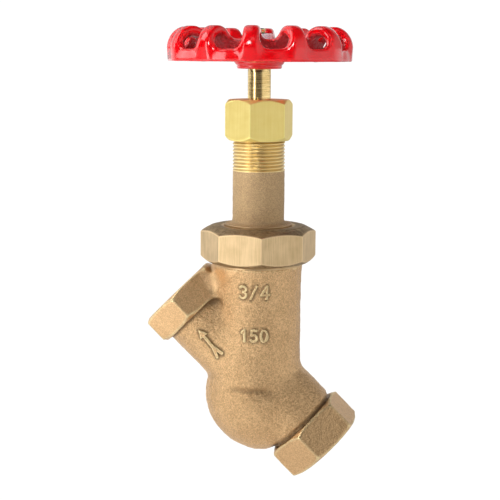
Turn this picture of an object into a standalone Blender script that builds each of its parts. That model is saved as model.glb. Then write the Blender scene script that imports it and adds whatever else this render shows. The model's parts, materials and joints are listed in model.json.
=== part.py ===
"""Bronze Y-pattern globe valve with a union bonnet, nominal pipe size 3/4 inch.

The frame is in metres with +Z up the stem. Its origin is the point where the stem's axis crosses the
axis of the two ports. The port axis lies in the XZ plane at 45 degrees: the outlet is at the upper left
(-X, +Z) and the inlet at the lower right (+X, -Z). The valve is modelled closed.
"""
import math

import bmesh
import bpy
from mathutils import Matrix

# ---------------------------------------------------------------- driving dimensions, in metres
GAP = 0.0003                    # clearance left between pieces that touch
OVER = 0.001                    # how far a cutter runs past the face it opens
EMPTY_SIZE = 0.01               # display size of the joint empties

# Ports
PORT_TILT = math.radians(45)    # port axis below the horizontal
HEX_FLATS = 0.0335              # hexagon ends across flats
OUTLET_END = 0.0487             # outlet face from the origin, along the port axis
OUTLET_HEX = 0.0122             # length of the outlet hexagon
OUTLET_TURN = math.radians(4)   # turn of the outlet hexagon on the port axis
INLET_END = 0.0423              # inlet face from the origin
INLET_HEX = 0.0146              # length of the inlet hexagon
INLET_TURN = math.radians(2)    # turn of the inlet hexagon on the port axis
OUTLET_NECK_R = 0.0148
INLET_NECK_R = 0.0160
OUTLET_ROOT = 0.0010            # where each neck starts, inside the body
INLET_ROOT = -0.0023
SOCKET_MOUTH_R = 0.01225        # tapered pipe thread at the mouth
SOCKET_DEEP_R = 0.01180         # and at its deep end
SOCKET_DEPTH = 0.0140
SOCKET_TAPER = 0.0010           # length of the cone from the socket to the waterway
WATERWAY_R = 0.0103
OUTLET_WATERWAY_START = 0.0112  # where each waterway starts, inside the body
INLET_WATERWAY_START = 0.0150
HEX_CHAMFER_DROP = 0.0014       # length of the turned chamfer at a hexagon's corners
HEX_CHAMFER_INSET = 0.0002      # how far inside the flats it meets the end faces

# Body
CHAMBER_R = 0.0179
CHAMBER_BORE_R = 0.0142
CHAMBER_TOP = 0.0475            # where the union thread starts
FLARE_HEIGHT = 0.0045           # flare of the chamber below that thread
CHAMBER_BOTTOM = -0.0020        # inside the bulb
UNION_THREAD_R = 0.0188
BODY_TOP = 0.0570
BODY_BEVEL = 0.0005
BULB_ALONG = 0.0073             # bulb centre along the port axis, towards the inlet
BULB_ACROSS = -0.0063           # and across that axis, downwards
BULB_RADII = (0.0218, 0.0187, 0.0235)   # half sizes: across the port axis, in Y, along the port axis
BULB_WALL = 0.0034
BELOW_DEPTH = 0.04              # depth of the block that keeps the lower cavity under the partition
BULB_SEGMENTS = 28
BULB_RINGS = 16
PARTITION_TOP = 0.0010
PARTITION_BOTTOM = -0.0030

# Seat ring
SEAT_BORE_R = 0.0090
SEAT_THREAD_R = 0.0106
SEAT_FLANGE_R = 0.0122
SEAT_FLANGE_HEIGHT = 0.0015
SEAT_LIP_IN = 0.0010            # lip's crest outside the bore
SEAT_LIP_OUT = 0.0016           # lip's foot outside the bore
SEAT_TOP = 0.0040

# Stem
STEM_R = 0.00476                # 3/8 in through the packing
STEM_THREAD_R = 0.00635
STEM_NECK_R = 0.0052
STEM_HEAD_R = 0.0074
STEM_HEAD_BOTTOM = 0.0120
STEM_HEAD_TOP = 0.0146
STEM_THREAD_BOTTOM = 0.0310
STEM_THREAD_TOP = 0.0760
SQUARE_FLATS = 0.0068           # square that drives the handwheel
SQUARE_BOTTOM = 0.1276
SQUARE_TOP = 0.1375
STEM_END_R = 0.00235
STEM_TOP = 0.1443
STEM_END_BEVEL = 0.0005
STEM_THREAD_RUNOUT = 0.0015     # cone above the screw
STEM_NECK_CONE = 0.0010         # cone below the screw

# Bonnet
BONNET_BOTTOM = 0.0500
BONNET_SPIGOT_R = 0.0139
BONNET_SHOULDER_R = 0.0176
BONNET_SHOULDER_TOP = 0.0607
BONNET_COLLAR_R = 0.0140
BONNET_COLLAR_TOP = 0.0643
BONNET_NECK_R = 0.0107
BONNET_THREAD_R = 0.01085
BONNET_THREAD_BOTTOM = 0.0866
BONNET_TOP = 0.1075
BONNET_SCREW_TOP = 0.0870
STUFFING_BOX_R = 0.0076
STUFFING_BOX_BOTTOM = 0.0930
BONNET_TOP_CHAMFER = 0.0006
BONNET_THREAD_STEP = 0.0002
BONNET_FILLET = 0.0012
BONNET_COLLAR_CHAMFER = 0.0004
BONNET_GUIDE_CONE = 0.0015      # cone from the screw to the stem guide

# Union ring nut
UNION_FLATS = 0.04445
UNION_BOTTOM = 0.0487
UNION_TOP = 0.0637
UNION_LIP_BOTTOM = 0.0610
UNION_OPENING_R = 0.0146
UNION_TURN = math.radians(12)
UNION_CHAMFER_DROP = 0.0023
UNION_CHAMFER_INSET = 0.0022

# Packing nut
PACKING_NUT_FLATS = 0.0250
PACKING_NUT_BOTTOM = 0.0989
PACKING_NUT_TOP = 0.1156
PACKING_NUT_PLATE = 0.0030
PACKING_NUT_TURN = math.radians(-5.7)
PACKING_NUT_CHAMFER_DROP = 0.0018
SMALL_CHAMFER_INSET = 0.0001    # packing nut and wheel nut

# Packing
RING_COUNT = 4
RING_HEIGHT = 0.0022
BASE_WASHER_HEIGHT = 0.0015
PACKING_IN_R = 0.0051
PACKING_OUT_R = 0.0073
GLAND_FLANGE_R = 0.0098
GLAND_FLANGE_BOTTOM = 0.1100

# Handwheel
RIM_BOTTOM = 0.1309
RIM_R = 0.0381                  # 3 in wheel
CREST_R = 0.0300
CREST_Z = 0.1449
INNER_FOOT_R = 0.0219
BAND_TOP = 0.1362
INNER_WALL_TOP = 0.1392
RIM_WALL = 0.0026
RIB_COUNT = 12
RIB_WIDTH = 0.0057
RIB_TURN = math.radians(3)      # one rib stands this far from the front
WINDOW_SPREAD = 0.0006          # each window's extra half width at its open top
WINDOW_SILL_DEPTH = 0.8         # depth of a window's rounded bottom, as a share of its half width
WINDOW_CREST_RISE = 0.0008      # its bottom under the crest, above the band's top
WINDOW_PAST = 0.0030            # how far its cutter runs past the rim
HUB_BOTTOM = 0.1279
HUB_TOP = 0.1376
HUB_R = 0.0100
HUB_TOP_SLOPE = 0.0020          # inset of the hub's top edge
HUB_TOP_CHAMFER = 0.0010
HUB_FOOT = 0.0008               # inset of the hub's bottom edge
HUB_FOOT_CHAMFER = 0.0003
SPOKE_COUNT = 4
SPOKE_WIDTH = 0.0075
SPOKE_HEIGHT = 0.0036
SPOKE_BOTTOM = 0.1312

# Wheel washer and nut
WASHER_R = 0.0052
WASHER_HEIGHT = 0.0008
WHEEL_NUT_FLATS = 0.0098
WHEEL_NUT_HEIGHT = 0.0032
WHEEL_NUT_TURN = math.radians(20)
WHEEL_NUT_CHAMFER_DROP = 0.0004

STEPS = 40                      # sides of a turned piece
INNER_STEPS = 24                # sides of a small inner piece
WHEEL_STEPS = 64                # sides of the wheel rim
NECK_TWIST = math.radians(3.1)  # small turns of round pieces about their own axes
BORE_TWIST = math.radians(2.2)
TRIM_TWIST = math.radians(1.3)
BULB_TWIST = math.radians(5.0)
CONE_PAST = 0.1                 # how far chamfer cones run past the corners, as a share
FINE = 0.00001                  # merge distance of turned pieces, a hundredth of a millimetre


# ---------------------------------------------------------------- helpers
def clear_scene():
    """Remove every object, so the script can be run again."""
    for old in list(bpy.data.objects):
        bpy.data.objects.remove(old, do_unlink=True)


def new_collection(name):
    """Make a collection in the scene."""
    collection = bpy.data.collections.new(name)
    bpy.context.scene.collection.children.link(collection)
    return collection


def material(name, colour, metallic, roughness):
    """Principled material with one colour."""
    mat = bpy.data.materials.new(name)
    mat.use_nodes = True
    shader = mat.node_tree.nodes["Principled BSDF"]
    shader.inputs["Base Color"].default_value = (*colour, 1.0)
    shader.inputs["Metallic"].default_value = metallic
    shader.inputs["Roughness"].default_value = roughness
    return mat


def add_object(name, mesh, collection, mat=None):
    """Put a mesh in the scene as a named object."""
    obj = bpy.data.objects.new(name, mesh)
    collection.objects.link(obj)
    if mat is not None:
        mesh.materials.append(mat)
    return obj


def hide_cutter(obj):
    """Show a cutter as wire and keep it out of renders."""
    obj.hide_render = True
    obj.display_type = "WIRE"
    return obj


def turned(name, profile, collection, mat=None, closed=True, steps=STEPS):
    """Turn a profile of (radius, z) points round Z. It runs down the outer side, top to bottom."""
    mesh = bpy.data.meshes.new(name)
    bm = bmesh.new()
    verts = [bm.verts.new((r, 0.0, z)) for r, z in profile]
    for first, second in zip(verts, verts[1:]):
        bm.edges.new((first, second))
    if closed:
        bm.edges.new((verts[-1], verts[0]))
    bm.to_mesh(mesh)
    bm.free()
    obj = add_object(name, mesh, collection, mat)
    screw = obj.modifiers.new("turn", "SCREW")
    screw.axis = "Z"
    screw.steps = steps
    screw.render_steps = steps
    screw.use_merge_vertices = True
    screw.merge_threshold = FINE
    screw.use_smooth_shade = True
    return obj


def prism(name, sides, flats, bottom, top, collection, mat=None, turn=0.0):
    """Regular prism along Z with one corner turned from +Y, sized across its flats."""
    corner_r = flats / 2 / math.cos(math.pi / sides)
    height = top - bottom
    place = Matrix.Rotation(turn, 4, "Z") @ Matrix.Translation((0, 0, bottom + height / 2))
    mesh = bpy.data.meshes.new(name)
    bm = bmesh.new()
    bmesh.ops.create_cone(bm, cap_ends=True, segments=sides, radius1=corner_r, radius2=corner_r,
                          depth=height, matrix=place)
    bm.to_mesh(mesh)
    bm.free()
    return add_object(name, mesh, collection, mat)


def box(name, size, centre, collection, mat=None):
    """Box of the given size about its centre."""
    mesh = bpy.data.meshes.new(name)
    bm = bmesh.new()
    place = Matrix.Translation(centre) @ Matrix.Diagonal((*size, 1.0))
    bmesh.ops.create_cube(bm, size=1.0, matrix=place)
    bm.to_mesh(mesh)
    bm.free()
    return add_object(name, mesh, collection, mat)


def ellipsoid(name, radii, collection):
    """Ellipsoid about the object's origin."""
    mesh = bpy.data.meshes.new(name)
    bm = bmesh.new()
    place = Matrix.Diagonal((*radii, 1.0)) @ Matrix.Rotation(BULB_TWIST, 4, "Z")
    bmesh.ops.create_uvsphere(bm, u_segments=BULB_SEGMENTS, v_segments=BULB_RINGS, radius=1.0,
                              matrix=place)
    bm.to_mesh(mesh)
    bm.free()
    return add_object(name, mesh, collection)


def combine(target, tool, operation):
    """Boolean of the target with a tool object, which becomes a hidden cutter."""
    modifier = target.modifiers.new(operation.lower(), "BOOLEAN")
    modifier.operation = operation
    modifier.solver = "EXACT"
    modifier.object = tool
    hide_cutter(tool)


def ring_profile(inner, outer, bottom, top):
    """Profile of a plain ring."""
    return [(outer, top), (outer, bottom), (inner, bottom), (inner, top)]


def chamfer_cone(name, flats, sides, bottom, top, drop, cutters, inset=0.0):
    """Turned solid that trims a prism's corners. It meets the flats at the ends, less the inset, and runs
    out at the corners after the drop."""
    corner_r = flats / 2 / math.cos(math.pi / sides)
    end_r = flats / 2 - inset
    wide_r = corner_r + (corner_r - end_r) * CONE_PAST
    depth = drop * (1 + CONE_PAST)
    profile = [(0.0, top), (end_r, top), (wide_r, top - depth), (wide_r, bottom + depth), (end_r, bottom),
               (0.0, bottom)]
    return turned(name, profile, cutters, closed=False)


def rest_on(parent, *children):
    """Parent pieces to the empty on their joint's axis."""
    for child in children:
        child.parent = parent


def axis_empty(name, z, collection):
    """Empty on the stem's axis that carries a moving group."""
    empty = bpy.data.objects.new(name, None)
    empty.location = (0.0, 0.0, z)
    empty.empty_display_size = EMPTY_SIZE
    collection.objects.link(empty)
    return empty


def lower_to(parent, *children):
    """Parent pieces modelled in world heights to an empty, without moving them."""
    rest_on(parent, *children)
    for child in children:
        child.location.z -= parent.location.z


# ---------------------------------------------------------------- body
def port_pose(obj, outward, twist=0.0):
    """Lay an object modelled along +Z on the port axis: outward is +1 for the inlet, -1 for the outlet.
    The twist about that axis keeps the edges of round pieces from crossing each other exactly."""
    obj.rotation_mode = "ZYX"
    if outward > 0:
        obj.rotation_euler = (0.0, math.pi / 2 + PORT_TILT, twist)
    else:
        obj.rotation_euler = (0.0, -PORT_TILT, twist)


def add_port(body, name, outward, neck_r, root, end, hex_length, turn, cutters):
    """Neck and hexagon of one port, joined to the body. The neck starts at root, inside the body."""
    neck_end = end - hex_length / 2
    neck = turned(name + "_neck", [(0.0, neck_end), (neck_r, neck_end), (neck_r, root), (0.0, root)],
                  cutters, closed=False)
    port_pose(neck, outward, NECK_TWIST)
    combine(body, neck, "UNION")
    hexagon = prism(name + "_hex", 6, HEX_FLATS, end - hex_length - OVER, end + OVER, cutters, turn=turn)
    trim = chamfer_cone(name + "_hex_trim", HEX_FLATS, 6, end - hex_length, end, HEX_CHAMFER_DROP, cutters,
                        inset=HEX_CHAMFER_INSET)
    combine(hexagon, trim, "INTERSECT")
    port_pose(hexagon, outward)
    port_pose(trim, outward, TRIM_TWIST)
    combine(body, hexagon, "UNION")


def cut_port(body, name, outward, end, waterway_start, cutters):
    """Threaded socket and waterway of one port."""
    profile = [(0.0, end + OVER), (SOCKET_MOUTH_R, end + OVER), (SOCKET_MOUTH_R, end),
               (SOCKET_DEEP_R, end - SOCKET_DEPTH), (WATERWAY_R, end - SOCKET_DEPTH - SOCKET_TAPER),
               (WATERWAY_R, waterway_start), (0.0, waterway_start)]
    bore = turned(name + "_bore", profile, cutters, closed=False)
    port_pose(bore, outward, BORE_TWIST)
    combine(body, bore, "DIFFERENCE")


def make_bulb(name, shrink, cutters):
    """Ellipsoid of the bulb, lying along the port axis, with its radii reduced by shrink."""
    bulb = ellipsoid(name, [radius - shrink for radius in BULB_RADII], cutters)
    port_pose(bulb, 1)
    along = (math.cos(PORT_TILT), -math.sin(PORT_TILT))
    across = (math.sin(PORT_TILT), math.cos(PORT_TILT))
    bulb.location = (BULB_ALONG * along[0] + BULB_ACROSS * across[0], 0.0,
                     BULB_ALONG * along[1] + BULB_ACROSS * across[1])
    return bulb


def make_body(parts, cutters, mat):
    """Cast body: chamber, bulb, two ports, partition and waterways in one casting."""
    profile = [(0.0, BODY_TOP), (UNION_THREAD_R - BODY_BEVEL, BODY_TOP),
               (UNION_THREAD_R, BODY_TOP - BODY_BEVEL),
               (UNION_THREAD_R, CHAMBER_TOP), (CHAMBER_R, CHAMBER_TOP - FLARE_HEIGHT),
               (CHAMBER_R, CHAMBER_BOTTOM), (0.0, CHAMBER_BOTTOM)]
    body = turned("body", profile, parts, mat, closed=False)
    combine(body, make_bulb("bulb", 0.0, cutters), "UNION")
    add_port(body, "outlet", -1, OUTLET_NECK_R, OUTLET_ROOT, OUTLET_END, OUTLET_HEX, OUTLET_TURN, cutters)
    add_port(body, "inlet", 1, INLET_NECK_R, INLET_ROOT, INLET_END, INLET_HEX, INLET_TURN, cutters)

    chamber = turned("chamber_bore", [(0.0, BODY_TOP + OVER), (CHAMBER_BORE_R, BODY_TOP + OVER),
                                      (CHAMBER_BORE_R, PARTITION_TOP), (0.0, PARTITION_TOP)],
                     cutters, closed=False)
    combine(body, chamber, "DIFFERENCE")
    cavity = make_bulb("bulb_cavity", BULB_WALL, cutters)
    below = box("below_partition", (2 * BELOW_DEPTH, 2 * BELOW_DEPTH, BELOW_DEPTH),
                (0.0, 0.0, PARTITION_BOTTOM - BELOW_DEPTH / 2), cutters)
    combine(cavity, below, "INTERSECT")
    combine(body, cavity, "DIFFERENCE")
    hole_r = SEAT_THREAD_R + GAP
    seat_hole = turned("seat_hole", [(0.0, PARTITION_TOP + OVER), (hole_r, PARTITION_TOP + OVER),
                                     (hole_r, PARTITION_BOTTOM - OVER), (0.0, PARTITION_BOTTOM - OVER)],
                       cutters, closed=False)
    combine(body, seat_hole, "DIFFERENCE")
    cut_port(body, "outlet", -1, OUTLET_END, OUTLET_WATERWAY_START, cutters)
    cut_port(body, "inlet", 1, INLET_END, INLET_WATERWAY_START, cutters)
    return body


def make_seat_ring(parts, mat):
    """Screwed-in seat with a raised lip."""
    flange_bottom = PARTITION_TOP + GAP
    flange_top = flange_bottom + SEAT_FLANGE_HEIGHT
    profile = [(SEAT_BORE_R + SEAT_LIP_IN, SEAT_TOP), (SEAT_BORE_R + SEAT_LIP_OUT, flange_top),
               (SEAT_FLANGE_R, flange_top), (SEAT_FLANGE_R, flange_bottom), (SEAT_THREAD_R, flange_bottom),
               (SEAT_THREAD_R, PARTITION_BOTTOM), (SEAT_BORE_R, PARTITION_BOTTOM), (SEAT_BORE_R, SEAT_TOP)]
    return turned("seat_ring", profile, parts, mat, steps=INNER_STEPS)


# ---------------------------------------------------------------- disc group
DISC_HEIGHT = 0.0030
DISC_BOTTOM = SEAT_TOP + GAP
DISC_TOP = DISC_BOTTOM + DISC_HEIGHT
DISC_R = 0.0117
DISC_HOLE_R = 0.0034
DISC_STANDS_OUT = 0.0012        # how far the disc shows below the cup's edge
CUP_R = 0.0132
CUP_CHAMFER = 0.0006
CUP_FLOOR = 0.0033
CUP_BOTTOM = DISC_BOTTOM + DISC_STANDS_OUT
CUP_TOP = DISC_TOP + CUP_FLOOR
COLLAR_R = 0.0102
COLLAR_FILLET = 0.0010
COLLAR_BORE_R = 0.0079
COLLAR_TOP = 0.0195
STUD_R = 0.0030
STUD_BOTTOM = -0.0010
HOLDER_NUT_FLATS = 0.0168
HOLDER_NUT_HEAD_R = 0.0095
HOLDER_NUT_HEAD_HEIGHT = 0.0032
HOLDER_NUT_CHAMFER = 0.0006
DISC_WASHER_R = 0.0070
DISC_WASHER_HEIGHT = 0.0010
DISC_NUT_FLATS = 0.0095
DISC_NUT_HEIGHT = 0.0026


def make_disc_group(parts, cutters, mats):
    """Disc holder, its nut, the composition disc with its washer and nut."""
    cavity_bottom = STEM_HEAD_BOTTOM - GAP
    stud_top = DISC_TOP + GAP
    cup_inner_r = DISC_R + GAP
    holder_profile = [(COLLAR_BORE_R, COLLAR_TOP), (COLLAR_R, COLLAR_TOP),
                      (COLLAR_R, CUP_TOP + COLLAR_FILLET), (COLLAR_R + COLLAR_FILLET, CUP_TOP),
                      (CUP_R - CUP_CHAMFER, CUP_TOP), (CUP_R, CUP_TOP - CUP_CHAMFER),
                      (CUP_R, CUP_BOTTOM), (cup_inner_r, CUP_BOTTOM), (cup_inner_r, stud_top),
                      (STUD_R, stud_top), (STUD_R, STUD_BOTTOM), (0.0, STUD_BOTTOM)]
    inner = [(0.0, cavity_bottom), (COLLAR_BORE_R, cavity_bottom)]
    holder = turned("disc_holder", inner + holder_profile, parts, mats["bronze"], closed=False,
                    steps=INNER_STEPS)

    nut_bottom = STEM_HEAD_TOP + GAP
    head_bottom = COLLAR_TOP + GAP
    head_top = head_bottom + HOLDER_NUT_HEAD_HEIGHT
    bore_r = STEM_THREAD_R + GAP
    sleeve_r = COLLAR_BORE_R - GAP
    holder_nut_profile = [(0.0, head_top), (HOLDER_NUT_HEAD_R - HOLDER_NUT_CHAMFER, head_top),
                          (HOLDER_NUT_HEAD_R, head_top - HOLDER_NUT_CHAMFER),
                          (HOLDER_NUT_HEAD_R, head_bottom), (sleeve_r, head_bottom),
                          (sleeve_r, nut_bottom), (0.0, nut_bottom)]
    holder_nut = turned("disc_holder_nut", holder_nut_profile, parts, mats["brass"], closed=False)
    hexagon = prism("holder_nut_hex", 6, HOLDER_NUT_FLATS, nut_bottom - GAP, head_top + GAP, cutters)
    combine(holder_nut, hexagon, "INTERSECT")
    bore = turned("holder_nut_bore", [(0.0, head_top + OVER), (bore_r, head_top + OVER),
                                      (bore_r, nut_bottom - OVER), (0.0, nut_bottom - OVER)],
                  cutters, closed=False)
    combine(holder_nut, bore, "DIFFERENCE")

    disc = turned("seat_disc", ring_profile(DISC_HOLE_R, DISC_R, DISC_BOTTOM, DISC_TOP), parts, mats["disc"],
                  steps=INNER_STEPS)
    washer_top = DISC_BOTTOM - GAP
    washer_bottom = washer_top - DISC_WASHER_HEIGHT
    washer = turned("disc_washer", ring_profile(DISC_HOLE_R, DISC_WASHER_R, washer_bottom, washer_top),
                    parts, mats["brass"], steps=INNER_STEPS)
    nut_top = washer_bottom - GAP
    nut_bottom = nut_top - DISC_NUT_HEIGHT
    nut = prism("disc_nut", 6, DISC_NUT_FLATS, nut_bottom, nut_top, parts, mats["brass"])
    nut_bore = turned("disc_nut_bore", [(0.0, nut_top + OVER), (STUD_R + GAP, nut_top + OVER),
                                        (STUD_R + GAP, nut_bottom - OVER), (0.0, nut_bottom - OVER)],
                      cutters, closed=False)
    combine(nut, nut_bore, "DIFFERENCE")
    return [holder, holder_nut, disc, washer, nut]


# ---------------------------------------------------------------- stem and handwheel
def make_stem(parts, cutters, mat):
    """Turned stem: head, neck, screw, packing length, square and threaded end."""
    profile = [(0.0, STEM_TOP), (STEM_END_R - STEM_END_BEVEL, STEM_TOP),
               (STEM_END_R, STEM_TOP - STEM_END_BEVEL), (STEM_END_R, SQUARE_TOP), (STEM_R, SQUARE_TOP),
               (STEM_R, STEM_THREAD_TOP + STEM_THREAD_RUNOUT), (STEM_THREAD_R, STEM_THREAD_TOP),
               (STEM_THREAD_R, STEM_THREAD_BOTTOM), (STEM_NECK_R, STEM_THREAD_BOTTOM - STEM_NECK_CONE),
               (STEM_NECK_R, STEM_HEAD_TOP), (STEM_HEAD_R, STEM_HEAD_TOP), (STEM_HEAD_R, STEM_HEAD_BOTTOM),
               (0.0, STEM_HEAD_BOTTOM)]
    stem = turned("stem", profile, parts, mat, closed=False)
    centre_z = (SQUARE_TOP + OVER + SQUARE_BOTTOM) / 2
    height = SQUARE_TOP + OVER - SQUARE_BOTTOM
    for index in range(4):
        angle = math.pi / 2 * index
        reach = SQUARE_FLATS / 2 + STEM_R
        centre = (reach * math.cos(angle), reach * math.sin(angle), centre_z)
        flat = box("square_flat_%d" % index, (2 * STEM_R, 2 * STEM_R, height), centre, cutters)
        combine(stem, flat, "DIFFERENCE")
    return stem


def rim_profile():
    """Section of the wheel rim: an arch with an outer band and an inner wall, open below."""
    arch_steps = 6
    half_width = (RIM_R - INNER_FOOT_R) / 2
    rise = CREST_Z - BAND_TOP
    outer = []
    inner = []
    for step in range(arch_steps + 1):
        angle = math.pi * step / arch_steps
        across = math.cos(angle)
        up = math.sin(angle)
        outer.append((CREST_R + half_width * across, BAND_TOP + rise * up))
        inner.append((CREST_R + (half_width - RIM_WALL) * across, BAND_TOP + (rise - RIM_WALL) * up))
    lower_outer = (RIM_R, RIM_BOTTOM)
    lower_inner = (RIM_R - RIM_WALL, RIM_BOTTOM)
    foot_outer = (INNER_FOOT_R + RIM_WALL, RIM_BOTTOM)
    foot_inner = (INNER_FOOT_R, RIM_BOTTOM)
    return [foot_inner] + outer[::-1] + [lower_outer, lower_inner] + inner + [foot_outer]


def window_outline(half_low, half_high, bottom, top):
    """Half-round bottomed slot outline as (across, up) points, from upper right round to upper left."""
    arc_steps = 6
    points = [(half_high, top)]
    for step in range(arc_steps + 1):
        angle = math.pi * step / arc_steps
        drop = half_low * WINDOW_SILL_DEPTH * (1 - math.sin(angle))
        points.append((half_low * math.cos(angle), bottom + drop))
    points.append((-half_high, top))
    return points


def make_window_cutter(index, cutters):
    """Loft that opens the rim between two ribs, narrow at the inner wall and wide at the band."""
    angle = RIB_TURN + math.pi / RIB_COUNT * (2 * index + 1)
    stations = ((INNER_FOOT_R - WINDOW_PAST, INNER_WALL_TOP), (CREST_R, BAND_TOP + WINDOW_CREST_RISE),
                (RIM_R + WINDOW_PAST, BAND_TOP))
    mesh = bpy.data.meshes.new("window")
    bm = bmesh.new()
    rings = []
    for radius, bottom in stations:
        half = math.pi * radius / RIB_COUNT - RIB_WIDTH / 2
        outline = window_outline(half, half + WINDOW_SPREAD, bottom, CREST_Z + WINDOW_PAST)
        rings.append([bm.verts.new((across, -radius, up)) for across, up in outline])
    for near, far in zip(rings, rings[1:]):
        count = len(near)
        for i in range(count):
            j = (i + 1) % count
            bm.faces.new((near[i], near[j], far[j], far[i]))
    bm.faces.new(rings[0])
    bm.faces.new(rings[-1][::-1])
    bmesh.ops.recalc_face_normals(bm, faces=bm.faces)
    bmesh.ops.rotate(bm, verts=bm.verts, matrix=Matrix.Rotation(angle, 3, "Z"))
    bm.to_mesh(mesh)
    bm.free()
    return add_object("window_%d" % index, mesh, cutters)


def make_handwheel(parts, cutters, mat):
    """Ventilated wheel: arched rim, twelve windows, spokes and a hub with a square hole."""
    wheel = turned("handwheel", rim_profile(), parts, mat, steps=WHEEL_STEPS)
    for index in range(RIB_COUNT):
        combine(wheel, make_window_cutter(index, cutters), "DIFFERENCE")
    reach = INNER_FOOT_R + RIM_WALL / 2
    spoke_z = SPOKE_BOTTOM + SPOKE_HEIGHT / 2
    for index in range(SPOKE_COUNT // 2):
        spoke = box("spoke_%d" % index, (2 * reach, SPOKE_WIDTH, SPOKE_HEIGHT), (0.0, 0.0, spoke_z), cutters)
        spoke.rotation_euler.z = RIB_TURN + math.pi / 2 * index
        combine(wheel, spoke, "UNION")
    hub = turned("hub", [(0.0, HUB_TOP), (HUB_R - HUB_TOP_SLOPE, HUB_TOP),
                         (HUB_R - HUB_TOP_SLOPE + HUB_TOP_CHAMFER, HUB_TOP - HUB_TOP_CHAMFER),
                         (HUB_R, RIM_BOTTOM),
                         (HUB_R - HUB_FOOT + HUB_FOOT_CHAMFER, HUB_BOTTOM + HUB_FOOT_CHAMFER),
                         (HUB_R - HUB_FOOT, HUB_BOTTOM), (0.0, HUB_BOTTOM)], cutters, closed=False)
    combine(wheel, hub, "UNION")
    hole = SQUARE_FLATS + 2 * GAP
    depth = HUB_TOP - HUB_BOTTOM + 2 * OVER
    drive = box("square_hole", (hole, hole, depth), (0.0, 0.0, (HUB_TOP + HUB_BOTTOM) / 2), cutters)
    combine(wheel, drive, "DIFFERENCE")
    return wheel


def make_wheel_fasteners(parts, cutters, mat):
    """Washer and nut that hold the wheel on the stem's threaded end."""
    washer_bottom = HUB_TOP + GAP
    washer_top = washer_bottom + WASHER_HEIGHT
    washer = turned("wheel_washer", ring_profile(STEM_END_R + GAP, WASHER_R, washer_bottom, washer_top),
                    parts, mat, steps=INNER_STEPS)
    nut_bottom = washer_top + GAP
    nut_top = nut_bottom + WHEEL_NUT_HEIGHT
    nut = prism("wheel_nut", 6, WHEEL_NUT_FLATS, nut_bottom - OVER, nut_top + OVER, parts, mat,
                turn=WHEEL_NUT_TURN)
    trim = chamfer_cone("wheel_nut_trim", WHEEL_NUT_FLATS, 6, nut_bottom, nut_top,
                        WHEEL_NUT_CHAMFER_DROP, cutters, inset=SMALL_CHAMFER_INSET)
    combine(nut, trim, "INTERSECT")
    bore = turned("wheel_nut_bore", [(0.0, nut_top + OVER), (STEM_END_R + GAP, nut_top + OVER),
                                     (STEM_END_R + GAP, nut_bottom - OVER), (0.0, nut_bottom - OVER)],
                  cutters, closed=False)
    combine(nut, bore, "DIFFERENCE")
    return [washer, nut]


# ---------------------------------------------------------------- bonnet, union nut and packing
def make_bonnet(parts, mat):
    """Bonnet: spigot, shoulder, collar, neck, outside thread and stuffing box."""
    screw_r = STEM_THREAD_R + GAP
    guide_r = STEM_R + GAP
    outer = [(BONNET_THREAD_R - BONNET_TOP_CHAMFER, BONNET_TOP),
             (BONNET_THREAD_R, BONNET_TOP - BONNET_TOP_CHAMFER), (BONNET_THREAD_R, BONNET_THREAD_BOTTOM),
             (BONNET_NECK_R, BONNET_THREAD_BOTTOM - BONNET_THREAD_STEP),
             (BONNET_NECK_R, BONNET_COLLAR_TOP + BONNET_FILLET),
             (BONNET_NECK_R + BONNET_FILLET, BONNET_COLLAR_TOP),
             (BONNET_COLLAR_R - BONNET_COLLAR_CHAMFER, BONNET_COLLAR_TOP),
             (BONNET_COLLAR_R, BONNET_COLLAR_TOP - BONNET_COLLAR_CHAMFER),
             (BONNET_COLLAR_R, BONNET_SHOULDER_TOP), (BONNET_SHOULDER_R, BONNET_SHOULDER_TOP),
             (BONNET_SHOULDER_R, BODY_TOP + GAP), (BONNET_SPIGOT_R, BODY_TOP + GAP),
             (BONNET_SPIGOT_R, BONNET_BOTTOM)]
    inner = [(screw_r, BONNET_BOTTOM), (screw_r, BONNET_SCREW_TOP),
             (guide_r, BONNET_SCREW_TOP + BONNET_GUIDE_CONE), (guide_r, STUFFING_BOX_BOTTOM),
             (STUFFING_BOX_R, STUFFING_BOX_BOTTOM), (STUFFING_BOX_R, BONNET_TOP)]
    return turned("bonnet", outer + inner, parts, mat)


def make_union_ring_nut(parts, cutters, mat):
    """Octagonal nut that draws the bonnet's shoulder down on the body."""
    nut = prism("union_ring_nut", 8, UNION_FLATS, UNION_BOTTOM - OVER, UNION_TOP + OVER, parts, mat,
                turn=UNION_TURN)
    trim = chamfer_cone("union_trim", UNION_FLATS, 8, UNION_BOTTOM, UNION_TOP, UNION_CHAMFER_DROP, cutters,
                        inset=UNION_CHAMFER_INSET)
    combine(nut, trim, "INTERSECT")
    thread_r = UNION_THREAD_R + GAP
    bore = turned("union_bore", [(0.0, UNION_TOP + OVER), (UNION_OPENING_R, UNION_TOP + OVER),
                                 (UNION_OPENING_R, UNION_LIP_BOTTOM), (thread_r, UNION_LIP_BOTTOM),
                                 (thread_r, UNION_BOTTOM - OVER), (0.0, UNION_BOTTOM - OVER)],
                  cutters, closed=False)
    combine(nut, bore, "DIFFERENCE")
    return nut


def make_packing(parts, mats):
    """Base washer and the packing rings above it, in the stuffing box."""
    bottom = STUFFING_BOX_BOTTOM + GAP
    top = bottom + BASE_WASHER_HEIGHT
    turned("packing_base_washer", ring_profile(PACKING_IN_R, PACKING_OUT_R, bottom, top), parts,
           mats["brass"], steps=INNER_STEPS)
    for index in range(RING_COUNT):
        bottom = top + GAP
        top = bottom + RING_HEIGHT
        turned("packing_ring_%d" % (index + 1), ring_profile(PACKING_IN_R, PACKING_OUT_R, bottom, top),
               parts, mats["packing"], steps=INNER_STEPS)
    return top


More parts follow.
